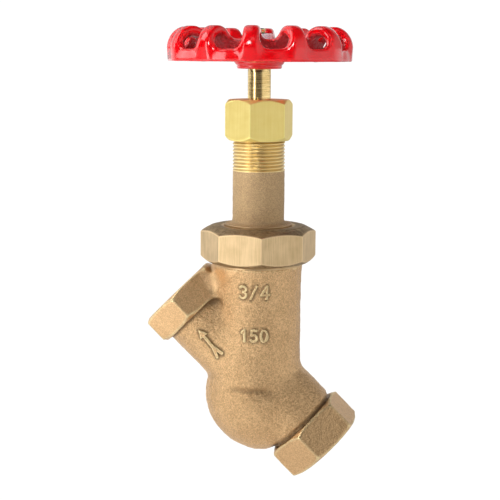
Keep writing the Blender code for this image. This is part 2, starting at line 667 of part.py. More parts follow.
def make_packing_gland(sleeve_bottom, parts, mat):
    """Gland: sleeve in the stuffing box with a flange under the packing nut's plate."""
    flange_top = PACKING_NUT_TOP - PACKING_NUT_PLATE - GAP
    profile = [(GLAND_FLANGE_R, flange_top), (GLAND_FLANGE_R, GLAND_FLANGE_BOTTOM),
               (PACKING_OUT_R, GLAND_FLANGE_BOTTOM), (PACKING_OUT_R, sleeve_bottom),
               (PACKING_IN_R, sleeve_bottom), (PACKING_IN_R, flange_top)]
    return turned("packing_gland", profile, parts, mat, steps=INNER_STEPS)


def make_packing_nut(parts, cutters, mat):
    """Hexagonal packing nut with large turned chamfers."""
    nut = prism("packing_nut", 6, PACKING_NUT_FLATS, PACKING_NUT_BOTTOM - OVER, PACKING_NUT_TOP + OVER,
                parts, mat, turn=PACKING_NUT_TURN)
    trim = chamfer_cone("packing_nut_trim", PACKING_NUT_FLATS, 6, PACKING_NUT_BOTTOM, PACKING_NUT_TOP,
                        PACKING_NUT_CHAMFER_DROP, cutters, inset=SMALL_CHAMFER_INSET)
    combine(nut, trim, "INTERSECT")
    plate_bottom = PACKING_NUT_TOP - PACKING_NUT_PLATE
    stem_hole_r = STEM_R + GAP
    thread_r = BONNET_THREAD_R + GAP
    below = PACKING_NUT_BOTTOM - OVER
    bore = turned("packing_nut_bore", [(0.0, PACKING_NUT_TOP + OVER), (stem_hole_r, PACKING_NUT_TOP + OVER),
                                       (stem_hole_r, plate_bottom), (thread_r, plate_bottom),
                                       (thread_r, below), (0.0, below)],
                  cutters, closed=False)
    combine(nut, bore, "DIFFERENCE")
    return nut


def main():
    """Build the valve."""
    clear_scene()
    parts = new_collection("globe_valve")
    cutters = new_collection("globe_valve_cutters")
    mats = {
        "cast": material("cast_bronze", (0.43, 0.27, 0.15), 0.85, 0.55),
        "bronze": material("machined_bronze", (0.55, 0.38, 0.20), 0.95, 0.35),
        "brass": material("brass", (0.72, 0.54, 0.25), 1.0, 0.25),
        "enamel": material("red_enamel", (0.62, 0.01, 0.02), 0.0, 0.15),
        "zinc": material("zinc_plate", (0.75, 0.76, 0.78), 1.0, 0.3),
        "disc": material("composition_disc", (0.05, 0.05, 0.05), 0.0, 0.6),
        "packing": material("graphite_packing", (0.08, 0.08, 0.08), 0.0, 0.7),
    }
    make_body(parts, cutters, mats["cast"])
    make_seat_ring(parts, mats["bronze"])
    make_bonnet(parts, mats["cast"])
    make_union_ring_nut(parts, cutters, mats["bronze"])
    packing_top = make_packing(parts, mats)

    disc_axis = axis_empty("disc_axis", SEAT_TOP, parts)
    lower_to(disc_axis, *make_disc_group(parts, cutters, mats))
    stem_axis = axis_empty("stem_axis", STEM_HEAD_BOTTOM, parts)
    stem = make_stem(parts, cutters, mats["brass"])
    wheel = make_handwheel(parts, cutters, mats["enamel"])
    lower_to(stem_axis, stem, wheel, *make_wheel_fasteners(parts, cutters, mats["zinc"]))
    gland_axis = axis_empty("gland_axis", GLAND_FLANGE_BOTTOM, parts)
    gland = make_packing_gland(packing_top + GAP, parts, mats["brass"])
    nut = make_packing_nut(parts, cutters, mats["brass"])
    lower_to(gland_axis, gland, nut)


main()
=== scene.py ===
"""Looks of the bronze union-bonnet globe valve: fine meshes, materials, lights and camera.

Lengths are in metres in the row frame: +Z up the stem, the ports' axis in the XZ plane at 45 degrees.
"""
import json
import math

import bmesh
import bpy
import numpy as np
from mathutils import Matrix, Vector


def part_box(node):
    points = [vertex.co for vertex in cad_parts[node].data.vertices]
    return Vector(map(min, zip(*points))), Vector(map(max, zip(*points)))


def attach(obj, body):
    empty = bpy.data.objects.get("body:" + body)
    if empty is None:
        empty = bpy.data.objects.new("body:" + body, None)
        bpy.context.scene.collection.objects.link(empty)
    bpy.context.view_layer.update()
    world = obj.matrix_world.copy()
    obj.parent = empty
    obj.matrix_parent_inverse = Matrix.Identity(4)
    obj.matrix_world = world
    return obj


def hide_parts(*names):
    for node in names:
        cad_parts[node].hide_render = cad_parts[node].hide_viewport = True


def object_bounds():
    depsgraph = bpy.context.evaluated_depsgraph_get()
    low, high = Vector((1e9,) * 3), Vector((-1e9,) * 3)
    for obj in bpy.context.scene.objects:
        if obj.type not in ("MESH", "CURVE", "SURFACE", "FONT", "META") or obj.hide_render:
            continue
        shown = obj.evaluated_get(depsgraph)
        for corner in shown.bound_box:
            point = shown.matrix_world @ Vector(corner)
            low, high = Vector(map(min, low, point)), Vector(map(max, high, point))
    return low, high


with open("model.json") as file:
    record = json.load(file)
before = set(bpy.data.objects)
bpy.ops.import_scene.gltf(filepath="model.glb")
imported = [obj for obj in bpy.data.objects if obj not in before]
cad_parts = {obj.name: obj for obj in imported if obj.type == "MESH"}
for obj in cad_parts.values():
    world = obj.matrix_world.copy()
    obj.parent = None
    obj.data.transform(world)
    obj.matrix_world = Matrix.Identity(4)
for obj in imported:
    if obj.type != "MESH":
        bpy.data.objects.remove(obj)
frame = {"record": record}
cad_low, cad_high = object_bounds()

MM = 0.001
TAU = 2 * math.pi
mounts = {mount["name"]: mount for mount in frame["record"]["mounts"]}


def span(node):
    """Lowest and highest z of a CAD node."""
    low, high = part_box(node)
    return low.z, high.z


def half_x(node):
    """Half width of a CAD node along X."""
    low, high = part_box(node)
    return (high.x - low.x) / 2


# ---------------------------------------------------------------- noise
def lattice(ix, iy, iz, seed):
    """Repeatable values from 0 to 1 at whole-number points."""
    h = (ix * 73856093) ^ (iy * 19349663) ^ (iz * 83492791) ^ (seed * 2654435761)
    h &= 0xFFFFFFFF
    h ^= h >> 13
    h = (h * 1274126177) & 0xFFFFFFFF
    h ^= h >> 16
    return h.astype(np.float64) / 0xFFFFFFFF


def noise(points, cell, seed):
    """Smooth value noise from -1 to 1 with the given cell size."""
    q = points / cell
    base = np.floor(q).astype(np.int64)
    f = q - base
    f = f * f * f * (f * (f * 6 - 15) + 10)
    total = 0.0
    for dx in (0, 1):
        for dy in (0, 1):
            for dz in (0, 1):
                weight = (np.abs(1 - dx - f[:, 0]) * np.abs(1 - dy - f[:, 1]) * np.abs(1 - dz - f[:, 2]))
                total = total + weight * lattice(base[:, 0] + dx, base[:, 1] + dy, base[:, 2] + dz, seed)
    return total * 2 - 1


def layered(points, cell, seed, layers=2):
    """Noise with finer layers of half the size and strength."""
    total = 0.0
    for layer in range(layers):
        total = total + noise(points, cell / 2 ** layer, seed + layer) / 2 ** layer
    return total


# ---------------------------------------------------------------- distance fields
def smin(a, b, k):
    """Smooth minimum: joins two solids with a fillet."""
    h = np.clip(0.5 + 0.5 * (b - a) / k, 0.0, 1.0)
    return b + (a - b) * h - k * h * (1.0 - h)


def smax(a, b, k):
    """Smooth maximum: intersects two solids with a rounded edge."""
    return -smin(-a, -b, k)


def step01(a, b, x):
    """Smooth step from 0 at a to 1 at b."""
    t = np.clip((x - a) / (b - a), 0.0, 1.0)
    return t * t * (3 - 2 * t)


def polygon(u, v, sides, flats, turn, k):
    """Distance to a regular polygon with one corner turned from +v, its corners rounded by k."""
    d = None
    for i in range(sides):
        angle = math.pi / 2 + turn + math.pi / sides + TAU / sides * i
        side = u * math.cos(angle) + v * math.sin(angle) - flats / 2
        d = side if d is None else smax(d, side, k)
    return d


def segment_distance(u, v, a, b):
    """Distance in the plane to the segment from a to b."""
    du, dv = b[0] - a[0], b[1] - a[1]
    t = np.clip(((u - a[0]) * du + (v - a[1]) * dv) / (du * du + dv * dv), 0.0, 1.0)
    return np.hypot(u - a[0] - t * du, v - a[1] - t * dv)


def surface_nets(field, low, high, step):
    """Quad mesh of the surface where the field is 0, from a regular grid."""
    axes = [np.arange(low[i], high[i] + step, step) for i in range(3)]
    shape = tuple(len(axis) for axis in axes)
    values = np.empty(shape)
    slab = 16
    for start in range(0, shape[2], slab):
        grid = np.meshgrid(axes[0], axes[1], axes[2][start:start + slab], indexing="ij")
        points = np.stack([g.ravel() for g in grid], axis=1)
        values[:, :, start:start + slab] = field(points).reshape(grid[0].shape)
    inside = values < 0
    corners = [(dx, dy, dz) for dx in (0, 1) for dy in (0, 1) for dz in (0, 1)]

    def shifted(array, offset):
        return array[offset[0]:shape[0] - 1 + offset[0], offset[1]:shape[1] - 1 + offset[1],
                     offset[2]:shape[2] - 1 + offset[2]]

    count = sum(shifted(inside, c).astype(np.int8) for c in corners)
    active = (count > 0) & (count < 8)
    cells = np.argwhere(active)
    index = np.full(active.shape, -1, np.int64)
    index[active] = np.arange(len(cells))
    at = [values[cells[:, 0] + c[0], cells[:, 1] + c[1], cells[:, 2] + c[2]] for c in corners]
    total = np.zeros((len(cells), 3))
    hits = np.zeros(len(cells))
    for i, a in enumerate(corners):
        for j, b in enumerate(corners):
            if j <= i or sum(abs(a[n] - b[n]) for n in range(3)) != 1:
                continue
            crossed = (at[i] < 0) != (at[j] < 0)
            t = np.where(crossed, at[i] / np.where(crossed, at[i] - at[j], 1.0), 0.0)
            where = np.array(a) + t[:, None] * (np.array(b) - np.array(a))
            total += where * crossed[:, None]
            hits += crossed
    verts = (cells + total / hits[:, None]) * step + np.array([axis[0] for axis in axes])

    quads = []
    for axis in range(3):
        one, two = (axis + 1) % 3, (axis + 2) % 3
        low_cut = [slice(None)] * 3
        high_cut = [slice(None)] * 3
        low_cut[axis] = slice(0, -1)
        high_cut[axis] = slice(1, None)
        first, second = inside[tuple(low_cut)], inside[tuple(high_cut)]
        edges = np.argwhere(first != second)
        keep = (edges[:, one] > 0) & (edges[:, two] > 0)
        keep &= (edges[:, one] < shape[one] - 1) & (edges[:, two] < shape[two] - 1)
        edges = edges[keep]
        ring = []
        for da, db in ((-1, -1), (0, -1), (0, 0), (-1, 0)):
            cell = edges.copy()
            cell[:, one] += da
            cell[:, two] += db
            ring.append(index[cell[:, 0], cell[:, 1], cell[:, 2]])
        faces = np.stack(ring, axis=1)
        outward = first[edges[:, 0], edges[:, 1], edges[:, 2]]
        faces[~outward] = faces[~outward][:, ::-1]
        quads.append(faces)
    return verts, np.concatenate(quads)


def gradient(field, points, reach=0.00004):
    """Gradient of a field at points."""
    parts = []
    for axis in range(3):
        offset = np.zeros(3)
        offset[axis] = reach
        parts.append((field(points + offset) - field(points - offset)) / (2 * reach))
    return np.stack(parts, axis=1)


def settle(field, points, rounds=3, limit=0.0004):
    """Move points on to the surface where the field is 0, and return them with the outward normals."""
    for _ in range(rounds):
        slope = gradient(field, points)
        length = np.maximum((slope ** 2).sum(1), 0.05)
        move = -(field(points) / length)[:, None] * slope
        size = np.linalg.norm(move, axis=1, keepdims=True)
        points = points + move * np.minimum(1.0, limit / np.maximum(size, 1e-12))
    slope = gradient(field, points)
    return points, slope / np.maximum(np.linalg.norm(slope, axis=1, keepdims=True), 1e-9)


# ---------------------------------------------------------------- meshes
def make_mesh(name, verts, faces):
    """Smooth-shaded mesh from arrays of vertices and of faces with the same number of corners."""
    mesh = bpy.data.meshes.new(name)
    faces = np.asarray(faces)
    corners = faces.shape[1]
    mesh.vertices.add(len(verts))
    mesh.vertices.foreach_set("co", np.asarray(verts, np.float32).ravel())
    mesh.loops.add(faces.size)
    mesh.loops.foreach_set("vertex_index", faces.astype(np.int32).ravel())
    mesh.polygons.add(len(faces))
    mesh.polygons.foreach_set("loop_start", np.arange(0, faces.size, corners, dtype=np.int32))
    mesh.update(calc_edges=True)
    mesh.shade_smooth()
    return mesh


def positions(mesh):
    """Vertices of a mesh as an array."""
    co = np.empty(len(mesh.vertices) * 3, np.float32)
    mesh.vertices.foreach_get("co", co)
    return co.reshape(-1, 3).astype(np.float64)


def set_positions(mesh, points):
    """Write vertices back to a mesh."""
    mesh.vertices.foreach_set("co", np.asarray(points, np.float32).ravel())
    mesh.update()


def store(mesh, name, values):
    """Keep one number for each vertex, for the materials to read."""
    layer = mesh.attributes.new(name, "FLOAT", "POINT")
    layer.data.foreach_set("value", np.asarray(values, np.float32))


def store_edges(mesh, scale=0.0007):
    """Keep how sharply the surface turns at each vertex: 1 on an outer edge, -1 in a corner."""
    points = positions(mesh)
    normals = np.empty(len(points) * 3, np.float32)
    mesh.vertex_normals.foreach_get("vector", normals)
    normals = normals.reshape(-1, 3).astype(np.float64)
    ends = np.empty(len(mesh.edges) * 2, np.int32)
    mesh.edges.foreach_get("vertices", ends)
    a, b = ends.reshape(-1, 2).T
    along = points[b] - points[a]
    bend = ((normals[b] - normals[a]) * along).sum(1) / np.maximum((along ** 2).sum(1), 1e-12)
    total = np.bincount(a, bend, len(points)) + np.bincount(b, bend, len(points))
    count = np.bincount(a, minlength=len(points)) + np.bincount(b, minlength=len(points))
    turn = np.clip(total / np.maximum(count, 1) * scale, -1.0, 1.0)
    for _ in range(2):
        spread = np.bincount(a, turn[b], len(points)) + np.bincount(b, turn[a], len(points))
        turn = 0.5 * turn + 0.5 * spread / np.maximum(count, 1)
    store(mesh, "edge", turn)


def plain_grain(mesh):
    """Full grain all over a mesh, and none of the painted crevice shade and grime."""
    store(mesh, "grain", np.ones(len(mesh.vertices)))
    store(mesh, "shade_and_grime", np.zeros(len(mesh.vertices)))


def add_piece(name, mesh, node, slot, *mats):
    """Put a mesh in the scene with its materials, attached to the empty of the given body."""
    obj = bpy.data.objects.new(name, mesh)
    bpy.context.scene.collection.objects.link(obj)
    for mat in mats:
        mesh.materials.append(mat)
    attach(obj, node)
    return obj


def bodies_of_nodes():
    """Body that each CAD node belongs to."""
    groups = frame["record"]["behaviour"]["bodies"]
    return {node: body for body, nodes in groups.items() for node in nodes}


NODE_BODY = bodies_of_nodes()


def piece(name, mesh, node, slot, *mats):
    """A finer piece that stands for one CAD node."""
    obj = add_piece(name, mesh, NODE_BODY[node], slot, *mats)
    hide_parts(node)
    return obj


def rounded(points, radius, arc=4, closed=True):
    """Round a profile's corners, with a support point on each side of every arc."""
    points = [np.array(p, float) for p in points]
    count = len(points)
    out = []
    for i, p in enumerate(points):
        if not closed and i in (0, count - 1):
            out.append(p)
            continue
        before, after = points[i - 1] - p, points[(i + 1) % count] - p
        la, lb = np.linalg.norm(before), np.linalg.norm(after)
        r = min(radius, 0.28 * la, 0.28 * lb)
        start, end = p + before / la * r, p + after / lb * r
        out.append(start + before / la * r * 0.6)
        for n in range(arc + 1):
            t = n / arc
            out.append((1 - t) ** 2 * start + 2 * t * (1 - t) * p + t * t * end)
        out.append(end + after / lb * r * 0.6)
    return out


def dense(points, step):
    """Split a profile's segments so that none is longer than the step."""
    out = []
    for a, b in zip(points, points[1:]):
        n = max(1, int(math.ceil(math.dist(a, b) / step)))
        for i in range(n):
            t = i / n
            out.append((a[0] + (b[0] - a[0]) * t, a[1] + (b[1] - a[1]) * t))
    out.append(points[-1])
    return out


def even_angles(count):
    """Angles of the columns of a turned piece."""
    return np.arange(count) * TAU / count


def corner_angles(sides, turn, per_side=18):
    """Angles of the columns of a nut, closer together at its corners."""
    half = math.pi / sides
    u = np.linspace(-1, 1, per_side, endpoint=False)
    inside = half * np.sign(u) * (1 - (1 - np.abs(u)) ** 1.8)
    first = math.pi / 2 + turn + half
    return np.concatenate([first + TAU / sides * i + inside for i in range(sides)])


def revolve(name, profile, angles, warp=None, closed=True):
    """Turned mesh. The warp changes the radii: it gets angle, radius and z arrays and returns new radii."""
    profile = np.array(profile, float)
    rows, cols = len(profile), len(angles)
    theta = np.tile(angles, rows)
    r = np.repeat(profile[:, 0], cols)
    z = np.repeat(profile[:, 1], cols)
    if warp is not None:
        r = warp(theta, r, z)
    verts = np.stack([r * np.cos(theta), r * np.sin(theta), z], axis=1)
    i = np.arange(rows if closed else rows - 1)
    j = np.arange(cols)
    ii, jj = np.meshgrid(i, j, indexing="ij")
    nxt, side = (ii + 1) % rows, (jj + 1) % cols
    quads = np.stack([ii * cols + jj, nxt * cols + jj, nxt * cols + side, ii * cols + side], axis=-1)
    quads = quads.reshape(-1, 4)
    if not closed:
        top, bottom = len(verts), len(verts) + 1
        verts = np.concatenate([verts, [[0, 0, profile[0, 1]], [0, 0, profile[-1, 1]]]])
        caps = [(top, k, (k + 1) % cols) for k in range(cols)]
        base = (rows - 1) * cols
        caps += [(bottom, base + (k + 1) % cols, base + k) for k in range(cols)]
        bm = bmesh.new()
        made = [bm.verts.new(v) for v in verts]
        for face in list(quads) + caps:
            bm.faces.new([made[n] for n in face])
        bmesh.ops.recalc_face_normals(bm, faces=bm.faces)
        mesh = bpy.data.meshes.new(name)
        bm.to_mesh(mesh)
        bm.free()
        mesh.shade_smooth()
        return mesh
    corner = verts[quads]
    volume = (np.cross(corner[:, 0], corner[:, 1]) * corner[:, 2]).sum()
    if volume < 0:
        quads = quads[:, ::-1]
    return make_mesh(name, verts, quads)


def turned_piece(name, node, slot, mat, profile, angles, warp=None, closed=True):
    """Turned mesh that stands for one CAD node."""
    mesh = revolve(node, profile, angles, warp, closed)
    store_edges(mesh)
    return piece(name, mesh, node, slot, mat)


def screw(theta, r, z, crest, depth, pitch, bottom, top, flat=0.0, runout=1.0):
    """Radii with a right-hand screw cut where the profile lies on the crest radius."""
    phase = (z / pitch - theta / TAU) % 1.0
    cut = np.clip((np.abs(2 * phase - 1) - flat) / (1 - 2 * flat), 0.0, 1.0)
    fade = step01(bottom, bottom + pitch * runout, z) * (1 - step01(top - pitch * runout, top, z))
    on = (np.abs(r - crest) < 0.00015) & (z > bottom) & (z < top)
    return np.where(on, r - depth * cut * fade, r)


def nut_screw(theta, r, z, crest, depth, pitch, bottom, top, flat=0.0):
    """Radii of a bore with the screw that takes the one above; both its ends open out into reliefs."""
    phase = (z / pitch - theta / TAU + 0.5) % 1.0
    cut = np.clip((np.abs(2 * phase - 1) - flat) / (1 - 2 * flat), 0.0, 1.0)
    fade = step01(bottom, bottom + pitch, z) * (1 - step01(top - pitch, top, z))
    return np.where(np.abs(r - crest) < 0.00015, r + depth * (1 - (1 - cut) * fade), r)


def clip_flats(theta, r, sides, flats, turn, k):
    """Radii cut back to a polygon's flats."""
    reach = None
    for i in range(sides):
        angle = math.pi / 2 + turn + math.pi / sides + TAU / sides * i
        cosine = np.cos(theta - angle)
        side = np.where(cosine > 0.2, flats / 2 / np.maximum(cosine, 0.2), 1.0)
        reach = side if reach is None else np.minimum(reach, side)
    return smin(r, reach, k)


# ---------------------------------------------------------------- node trees
WHITE = (1.0, 1.0, 1.0, 1.0)
SWING = math.radians(9)          # the camera stands this far round from the front
RAMP_SCALE = 4.0                 # ramps of strengths hold them divided by this


class Nodes:
    """Node tree built up step by step."""

    def __init__(self, tree):
        self.tree = tree

    def node(self, kind, **inputs):
        """Add a node. The keywords name its inputs, with _ for a space."""
        made = self.tree.nodes.new(kind)
        for key, value in inputs.items():
            self.plug(value, made.inputs[key.replace("_", " ")])
        return made

    def plug(self, value, socket):
        if isinstance(value, bpy.types.NodeSocket):
            self.tree.links.new(value, socket)
        else:
            socket.default_value = value

    def math(self, operation, one, two=0.0, three=0.0):
        made = self.node("ShaderNodeMath")
        made.operation = operation
        for value, socket in zip((one, two, three), made.inputs):
            self.plug(value, socket)
        return made.outputs[0]

    def portion(self, value, low, high, kind="SMOOTHSTEP"):
        """Map the range from low to high to the range from 0 to 1."""
        made = self.node("ShaderNodeMapRange", Value=value, From_Min=low, From_Max=high)
        made.interpolation_type = kind
        return made.outputs["Result"]

    def ramp(self, factor, *stops):
        made = self.node("ShaderNodeValToRGB", Fac=factor)
        elements = made.color_ramp.elements
        while len(elements) < len(stops):
            elements.new(0.5)
        for element, (place, colour) in zip(elements, stops):
            element.position = place
            if not isinstance(colour, tuple):
                colour = (colour, colour, colour)
            element.color = (*colour, 1.0)
        return made.outputs["Color"]

    def by_azimuth(self, vector, stops):
        """Strength read from a vector's azimuth about the object, in degrees to the right of the camera."""
        turned = self.node("ShaderNodeVectorRotate", Vector=vector, Angle=math.pi / 2 - SWING)
        turned.rotation_type = "Z_AXIS"
        parts = self.node("ShaderNodeSeparateXYZ", Vector=turned.outputs["Vector"])
        angle = self.math("ARCTAN2", parts.outputs["Y"], parts.outputs["X"])
        place = self.portion(angle, -math.pi, math.pi, "LINEAR")
        scaled = [(azimuth / 360 + 0.5, strength / RAMP_SCALE) for azimuth, strength in stops]
        return self.math("MULTIPLY", self.ramp(place, *scaled), RAMP_SCALE)

    def white_to_camera(self, surface, out, kind):
        """Show plain white to the camera and the given surface to everything else."""
        white = self.node(kind, Color=WHITE, Strength=1.05)
        path = self.node("ShaderNodeLightPath")
        mix = self.node("ShaderNodeMixShader", Fac=path.outputs["Is Camera Ray"])
        self.plug(surface, mix.inputs[1])
        self.plug(white.outputs[0], mix.inputs[2])
        self.plug(mix.outputs["Shader"], out.inputs["Surface"])


class Look(Nodes):
    """Material with a Principled shader. Sizes of patterns are in metres."""

    def __init__(self, name):
        self.mat = bpy.data.materials.new(name)
        self.mat.use_nodes = True
        super().__init__(self.mat.node_tree)
        self.shader = self.tree.nodes["Principled BSDF"]
        self.coord = self.node("ShaderNodeTexCoord").outputs["Object"]

    def noise(self, size, detail=3.0, rough=0.55, stretch=None):
        coord = self.coord
        if stretch is not None:
            coord = self.node("ShaderNodeMapping", Scale=stretch, Vector=coord).outputs["Vector"]
        made = self.node("ShaderNodeTexNoise", Scale=1.0 / size, Detail=detail, Roughness=rough, Vector=coord)
        return made.outputs["Fac"]

    def cells(self, size):
        return self.node("ShaderNodeTexVoronoi", Scale=1.0 / size, Vector=self.coord).outputs["Distance"]

    def attribute(self, name):
        made = self.node("ShaderNodeAttribute")
        made.attribute_name = name
        return made.outputs["Fac"]

    def mix(self, factor, one, two):
        """Blend two colours."""
        made = self.node("ShaderNodeMix")
        made.data_type = "RGBA"
        for value, socket in ((factor, made.inputs[0]), (one, made.inputs[6]), (two, made.inputs[7])):
            self.plug((*value, 1.0) if isinstance(value, tuple) else value, socket)
        return made.outputs[2]

    def between(self, factor, low, high):
        """Map a factor of 0 to 1 to the range from low to high."""
        return self.math("MULTIPLY_ADD", factor, high - low, low)

    def worn(self, colour, start, full, amount, tint):
        """Tint the outer edges that are sharper than start."""
        edge = self.ramp(self.attribute("edge"), (start, 0.0), (full, 1.0))
        return self.mix(self.math("MULTIPLY", edge, amount), colour, tint)

    def hollow(self, colour, start, full, amount, tint):
        """Paint shade into the inner corners that are sharper than start, with a darker tint."""
        inward = self.math("MULTIPLY", self.attribute("edge"), -1.0)
        corner = self.ramp(inward, (start, 0.0), (full, 1.0))
        return self.mix(self.math("MULTIPLY", corner, amount), colour, tint)

    def bump(self, height, distance, strength=1.0, normal=None):
        made = self.node("ShaderNodeBump", Strength=strength, Distance=distance, Height=height)
        if normal is not None:
            self.plug(normal, made.inputs["Normal"])
        return made.outputs["Normal"]

    def finish(self, **sockets):
        """Set the shader's inputs and return the material."""
        names = {"colour": "Base Color", "metallic": "Metallic", "roughness": "Roughness", "normal": "Normal",
                 "coat": "Coat Weight", "coat_roughness": "Coat Roughness", "specular": "Specular IOR Level"}
        for key, value in sockets.items():
            self.plug(value, self.shader.inputs[names[key]])
        return self.mat


def shade(colour, scale, lift=0.0):
    """Lighter or darker kind of a colour."""
    return tuple(min(1.0, c * scale + lift) for c in colour)


# ---------------------------------------------------------------- materials
def cast_bronze(name, light, dark, rough=(0.29, 0.43), grain=0.00115, depth=0.00038, metallic=0.8):
    """Sand-cast bronze: granular, mottled, with painted glints, brighter on worn edges, with painted shade
    and some grime in crevices and painted shade in inner corners.
    """
    look = Look(name)
    fine = look.noise(grain, 2.0, 0.6)
    speck = look.noise(grain * 0.45, 2.0, 0.6)
    broad = look.noise(0.011, 3.0, 0.5)
    granular = look.attribute("grain")
    tone = look.math("MULTIPLY_ADD", fine, 0.3, look.math("MULTIPLY", broad, 0.2))
    tone = look.math("MULTIPLY_ADD", speck, 0.8, tone)
    middle = tuple((a + b) / 2 for a, b in zip(dark, light))
    speckled = look.ramp(tone, (0.545, dark), (0.745, light))
    colour = look.mix(look.math("MULTIPLY_ADD", granular, 0.5, 0.35), middle, speckled)
    # painted glints: bright specks of the light colour on the grain stand in for sparkle
    painted_glints = look.ramp(speck, (0.60, 0.0), (0.74, 1.0))
    painted_glints = look.math("MULTIPLY", painted_glints, look.math("MULTIPLY", granular, 0.55))
    colour = look.mix(painted_glints, colour, shade(light, 1.2, 0.03))
    # painted shade with some grime: darker where the casting is closed in
    shade_and_grime = look.ramp(look.attribute("shade_and_grime"), (0.06, 0.0), (0.50, 1.0))
    colour = look.mix(look.math("MULTIPLY", shade_and_grime, 0.85), colour, shade(dark, 0.30))
    colour = look.worn(colour, 0.10, 0.40, 0.75, shade(light, 1.25, 0.08))
    # painted shade in the inner corners
    colour = look.hollow(colour, 0.05, 0.40, 0.7, shade(dark, 0.42))
    roughness = look.between(look.mix(0.5, fine, speck), *rough)
    pebbles = look.ramp(fine, (0.30, 0.0), (0.48, 0.55), (0.70, 1.0))
    normal = look.bump(look.math("MULTIPLY", pebbles, granular), depth * 0.36)
    normal = look.bump(look.math("MULTIPLY", speck, granular), depth * 0.85, 1.0, normal)
    return look.finish(colour=colour, metallic=metallic, roughness=roughness, normal=normal)


ROUND_THE_AXIS = (0.05, 0.05, 1.0)        # stretches noise into rings about Z
ALONG_THE_AXIS = (1.0, 1.0, 0.03)         # stretches noise into lines along Z


def turned_metal(name, light, dark, rough, line=0.00018, depth=0.000012, stretch=ROUND_THE_AXIS,
                 metallic=1.0):
    """Machined metal: fine tool lines, with faint smears and painted shade in the inner corners."""
    look = Look(name)
    lines = look.noise(line, 2.0, 0.6, stretch)
    smear = look.noise(0.0045, 3.0, 0.55, (0.6, 0.6, 1.4))
    tone = look.math("MULTIPLY_ADD", lines, 0.55, look.math("MULTIPLY", smear, 0.45))
    colour = look.ramp(tone, (0.34, dark), (0.64, light))
    colour = look.worn(colour, 0.12, 0.6, 0.45, shade(light, 1.12, 0.04))
    # painted shade in the inner corners
    colour = look.hollow(colour, 0.08, 0.6, 0.6, shade(dark, 0.35))
    roughness = look.between(look.mix(0.6, lines, smear), *rough)
    normal = look.bump(lines, depth, 0.8)
    return look.finish(colour=colour, metallic=metallic, roughness=roughness, normal=normal)


def red_enamel():
    """Glossy enamel over a rough iron casting, thick and wavy, dull and darker inside the rim."""
    look = Look("red_enamel")
    pool = look.noise(0.006, 2.0, 0.5)
    inside = look.attribute("inside")
    colour = look.mix(look.ramp(pool, (0.35, 0.0), (0.7, 1.0)), (0.80, 0.0005, 0.004), (0.92, 0.001, 0.007))
    # painted shade in the inner corners
    colour = look.hollow(colour, 0.05, 0.5, 0.55, (0.30, 0.0, 0.002))
    colour = look.mix(look.math("MULTIPLY", inside, 0.75), colour, (0.30, 0.001, 0.005))
    roughness = look.math("ADD", look.between(pool, 0.10, 0.20), look.math("MULTIPLY", inside, 0.22))
    normal = look.bump(look.noise(0.0032, 2.0, 0.5), 0.00018, 0.5)
    normal = look.bump(look.noise(0.0011, 2.0, 0.5), 0.00002, 0.4, normal)
    crust = look.math("MULTIPLY", look.noise(0.0011, 3.0, 0.65), inside)
    normal = look.bump(crust, 0.0006, 1.0, normal)
    gloss = look.math("MULTIPLY_ADD", inside, -0.5, 0.6)
    return look.finish(colour=colour, metallic=0.0, roughness=roughness, normal=normal, specular=0.4,
                       coat=gloss, coat_roughness=0.05)


def milled_bronze(name, light, dark, rough=(0.34, 0.5)):
    """Bronze casting with milled flats: lines along Z on the flats, rough where the tool didn't reach."""
    look = Look(name)
    lines = look.noise(0.00042, 3.0, 0.65, (1.0, 1.0, 0.035))
    grain = look.noise(0.0013, 3.0, 0.6)
    patch = look.math("MULTIPLY", look.noise(0.006, 3.0, 0.5), 0.4)
    cast = look.attribute("cast")
    flat_tone = look.math("MULTIPLY_ADD", lines, 0.6, patch)
    flat_colour = look.ramp(flat_tone, (0.36, dark), (0.62, light))
    rough_tone = look.math("MULTIPLY_ADD", grain, 0.7, patch)
    cast_colour = look.ramp(rough_tone, (0.42, shade(dark, 0.40)), (0.72, shade(light, 0.62)))
    colour = look.worn(look.mix(cast, flat_colour, cast_colour), 0.10, 0.45, 0.55, shade(light, 1.15, 0.05))
    roughness = look.math("ADD", look.between(flat_tone, *rough), look.math("MULTIPLY", cast, 0.14))
    normal = look.node("ShaderNodeMix")
    normal.data_type = "VECTOR"
    look.plug(cast, normal.inputs[0])
    look.plug(look.bump(lines, 0.00003, 0.7), normal.inputs[4])
    look.plug(look.bump(grain, 0.00016, 0.8), normal.inputs[5])
    return look.finish(colour=colour, metallic=0.9, roughness=roughness, normal=normal.outputs[1])


def zinc():
    """Bright zinc plate."""
    look = Look("zinc_plate")
    haze = look.noise(0.0012, 3.0, 0.6)
    colour = look.ramp(haze, (0.35, (0.56, 0.60, 0.66)), (0.68, (0.82, 0.85, 0.88)))
    # painted shade in the inner corners
    colour = look.hollow(colour, 0.08, 0.6, 0.6, (0.16, 0.16, 0.17))
    return look.finish(colour=colour, metallic=1.0, roughness=look.between(haze, 0.2, 0.36),
                       normal=look.bump(haze, 0.00003, 0.5))


def packing():
    """Braided graphite yarn."""
    look = Look("graphite_packing")
    braid = look.cells(0.0009)
    fibre = look.noise(0.0002, 2.0, 0.6)
    colour = look.ramp(braid, (0.1, (0.10, 0.10, 0.11)), (0.6, (0.025, 0.025, 0.028)))
    normal = look.bump(fibre, 0.00004, 0.6, look.bump(braid, 0.00025, 0.9))
    return look.finish(colour=colour, metallic=0.15, roughness=look.between(fibre, 0.35, 0.6), normal=normal)


def composition():
    """Moulded disc of filled rubber and fibre."""
    look = Look("composition_disc")
    grain = look.noise(0.0005, 4.0, 0.7)
    colour = look.ramp(grain, (0.35, (0.035, 0.033, 0.03)), (0.7, (0.11, 0.10, 0.09)))
    return look.finish(colour=colour, metallic=0.0, roughness=look.between(grain, 0.5, 0.75),
                       normal=look.bump(grain, 0.00005, 0.7))


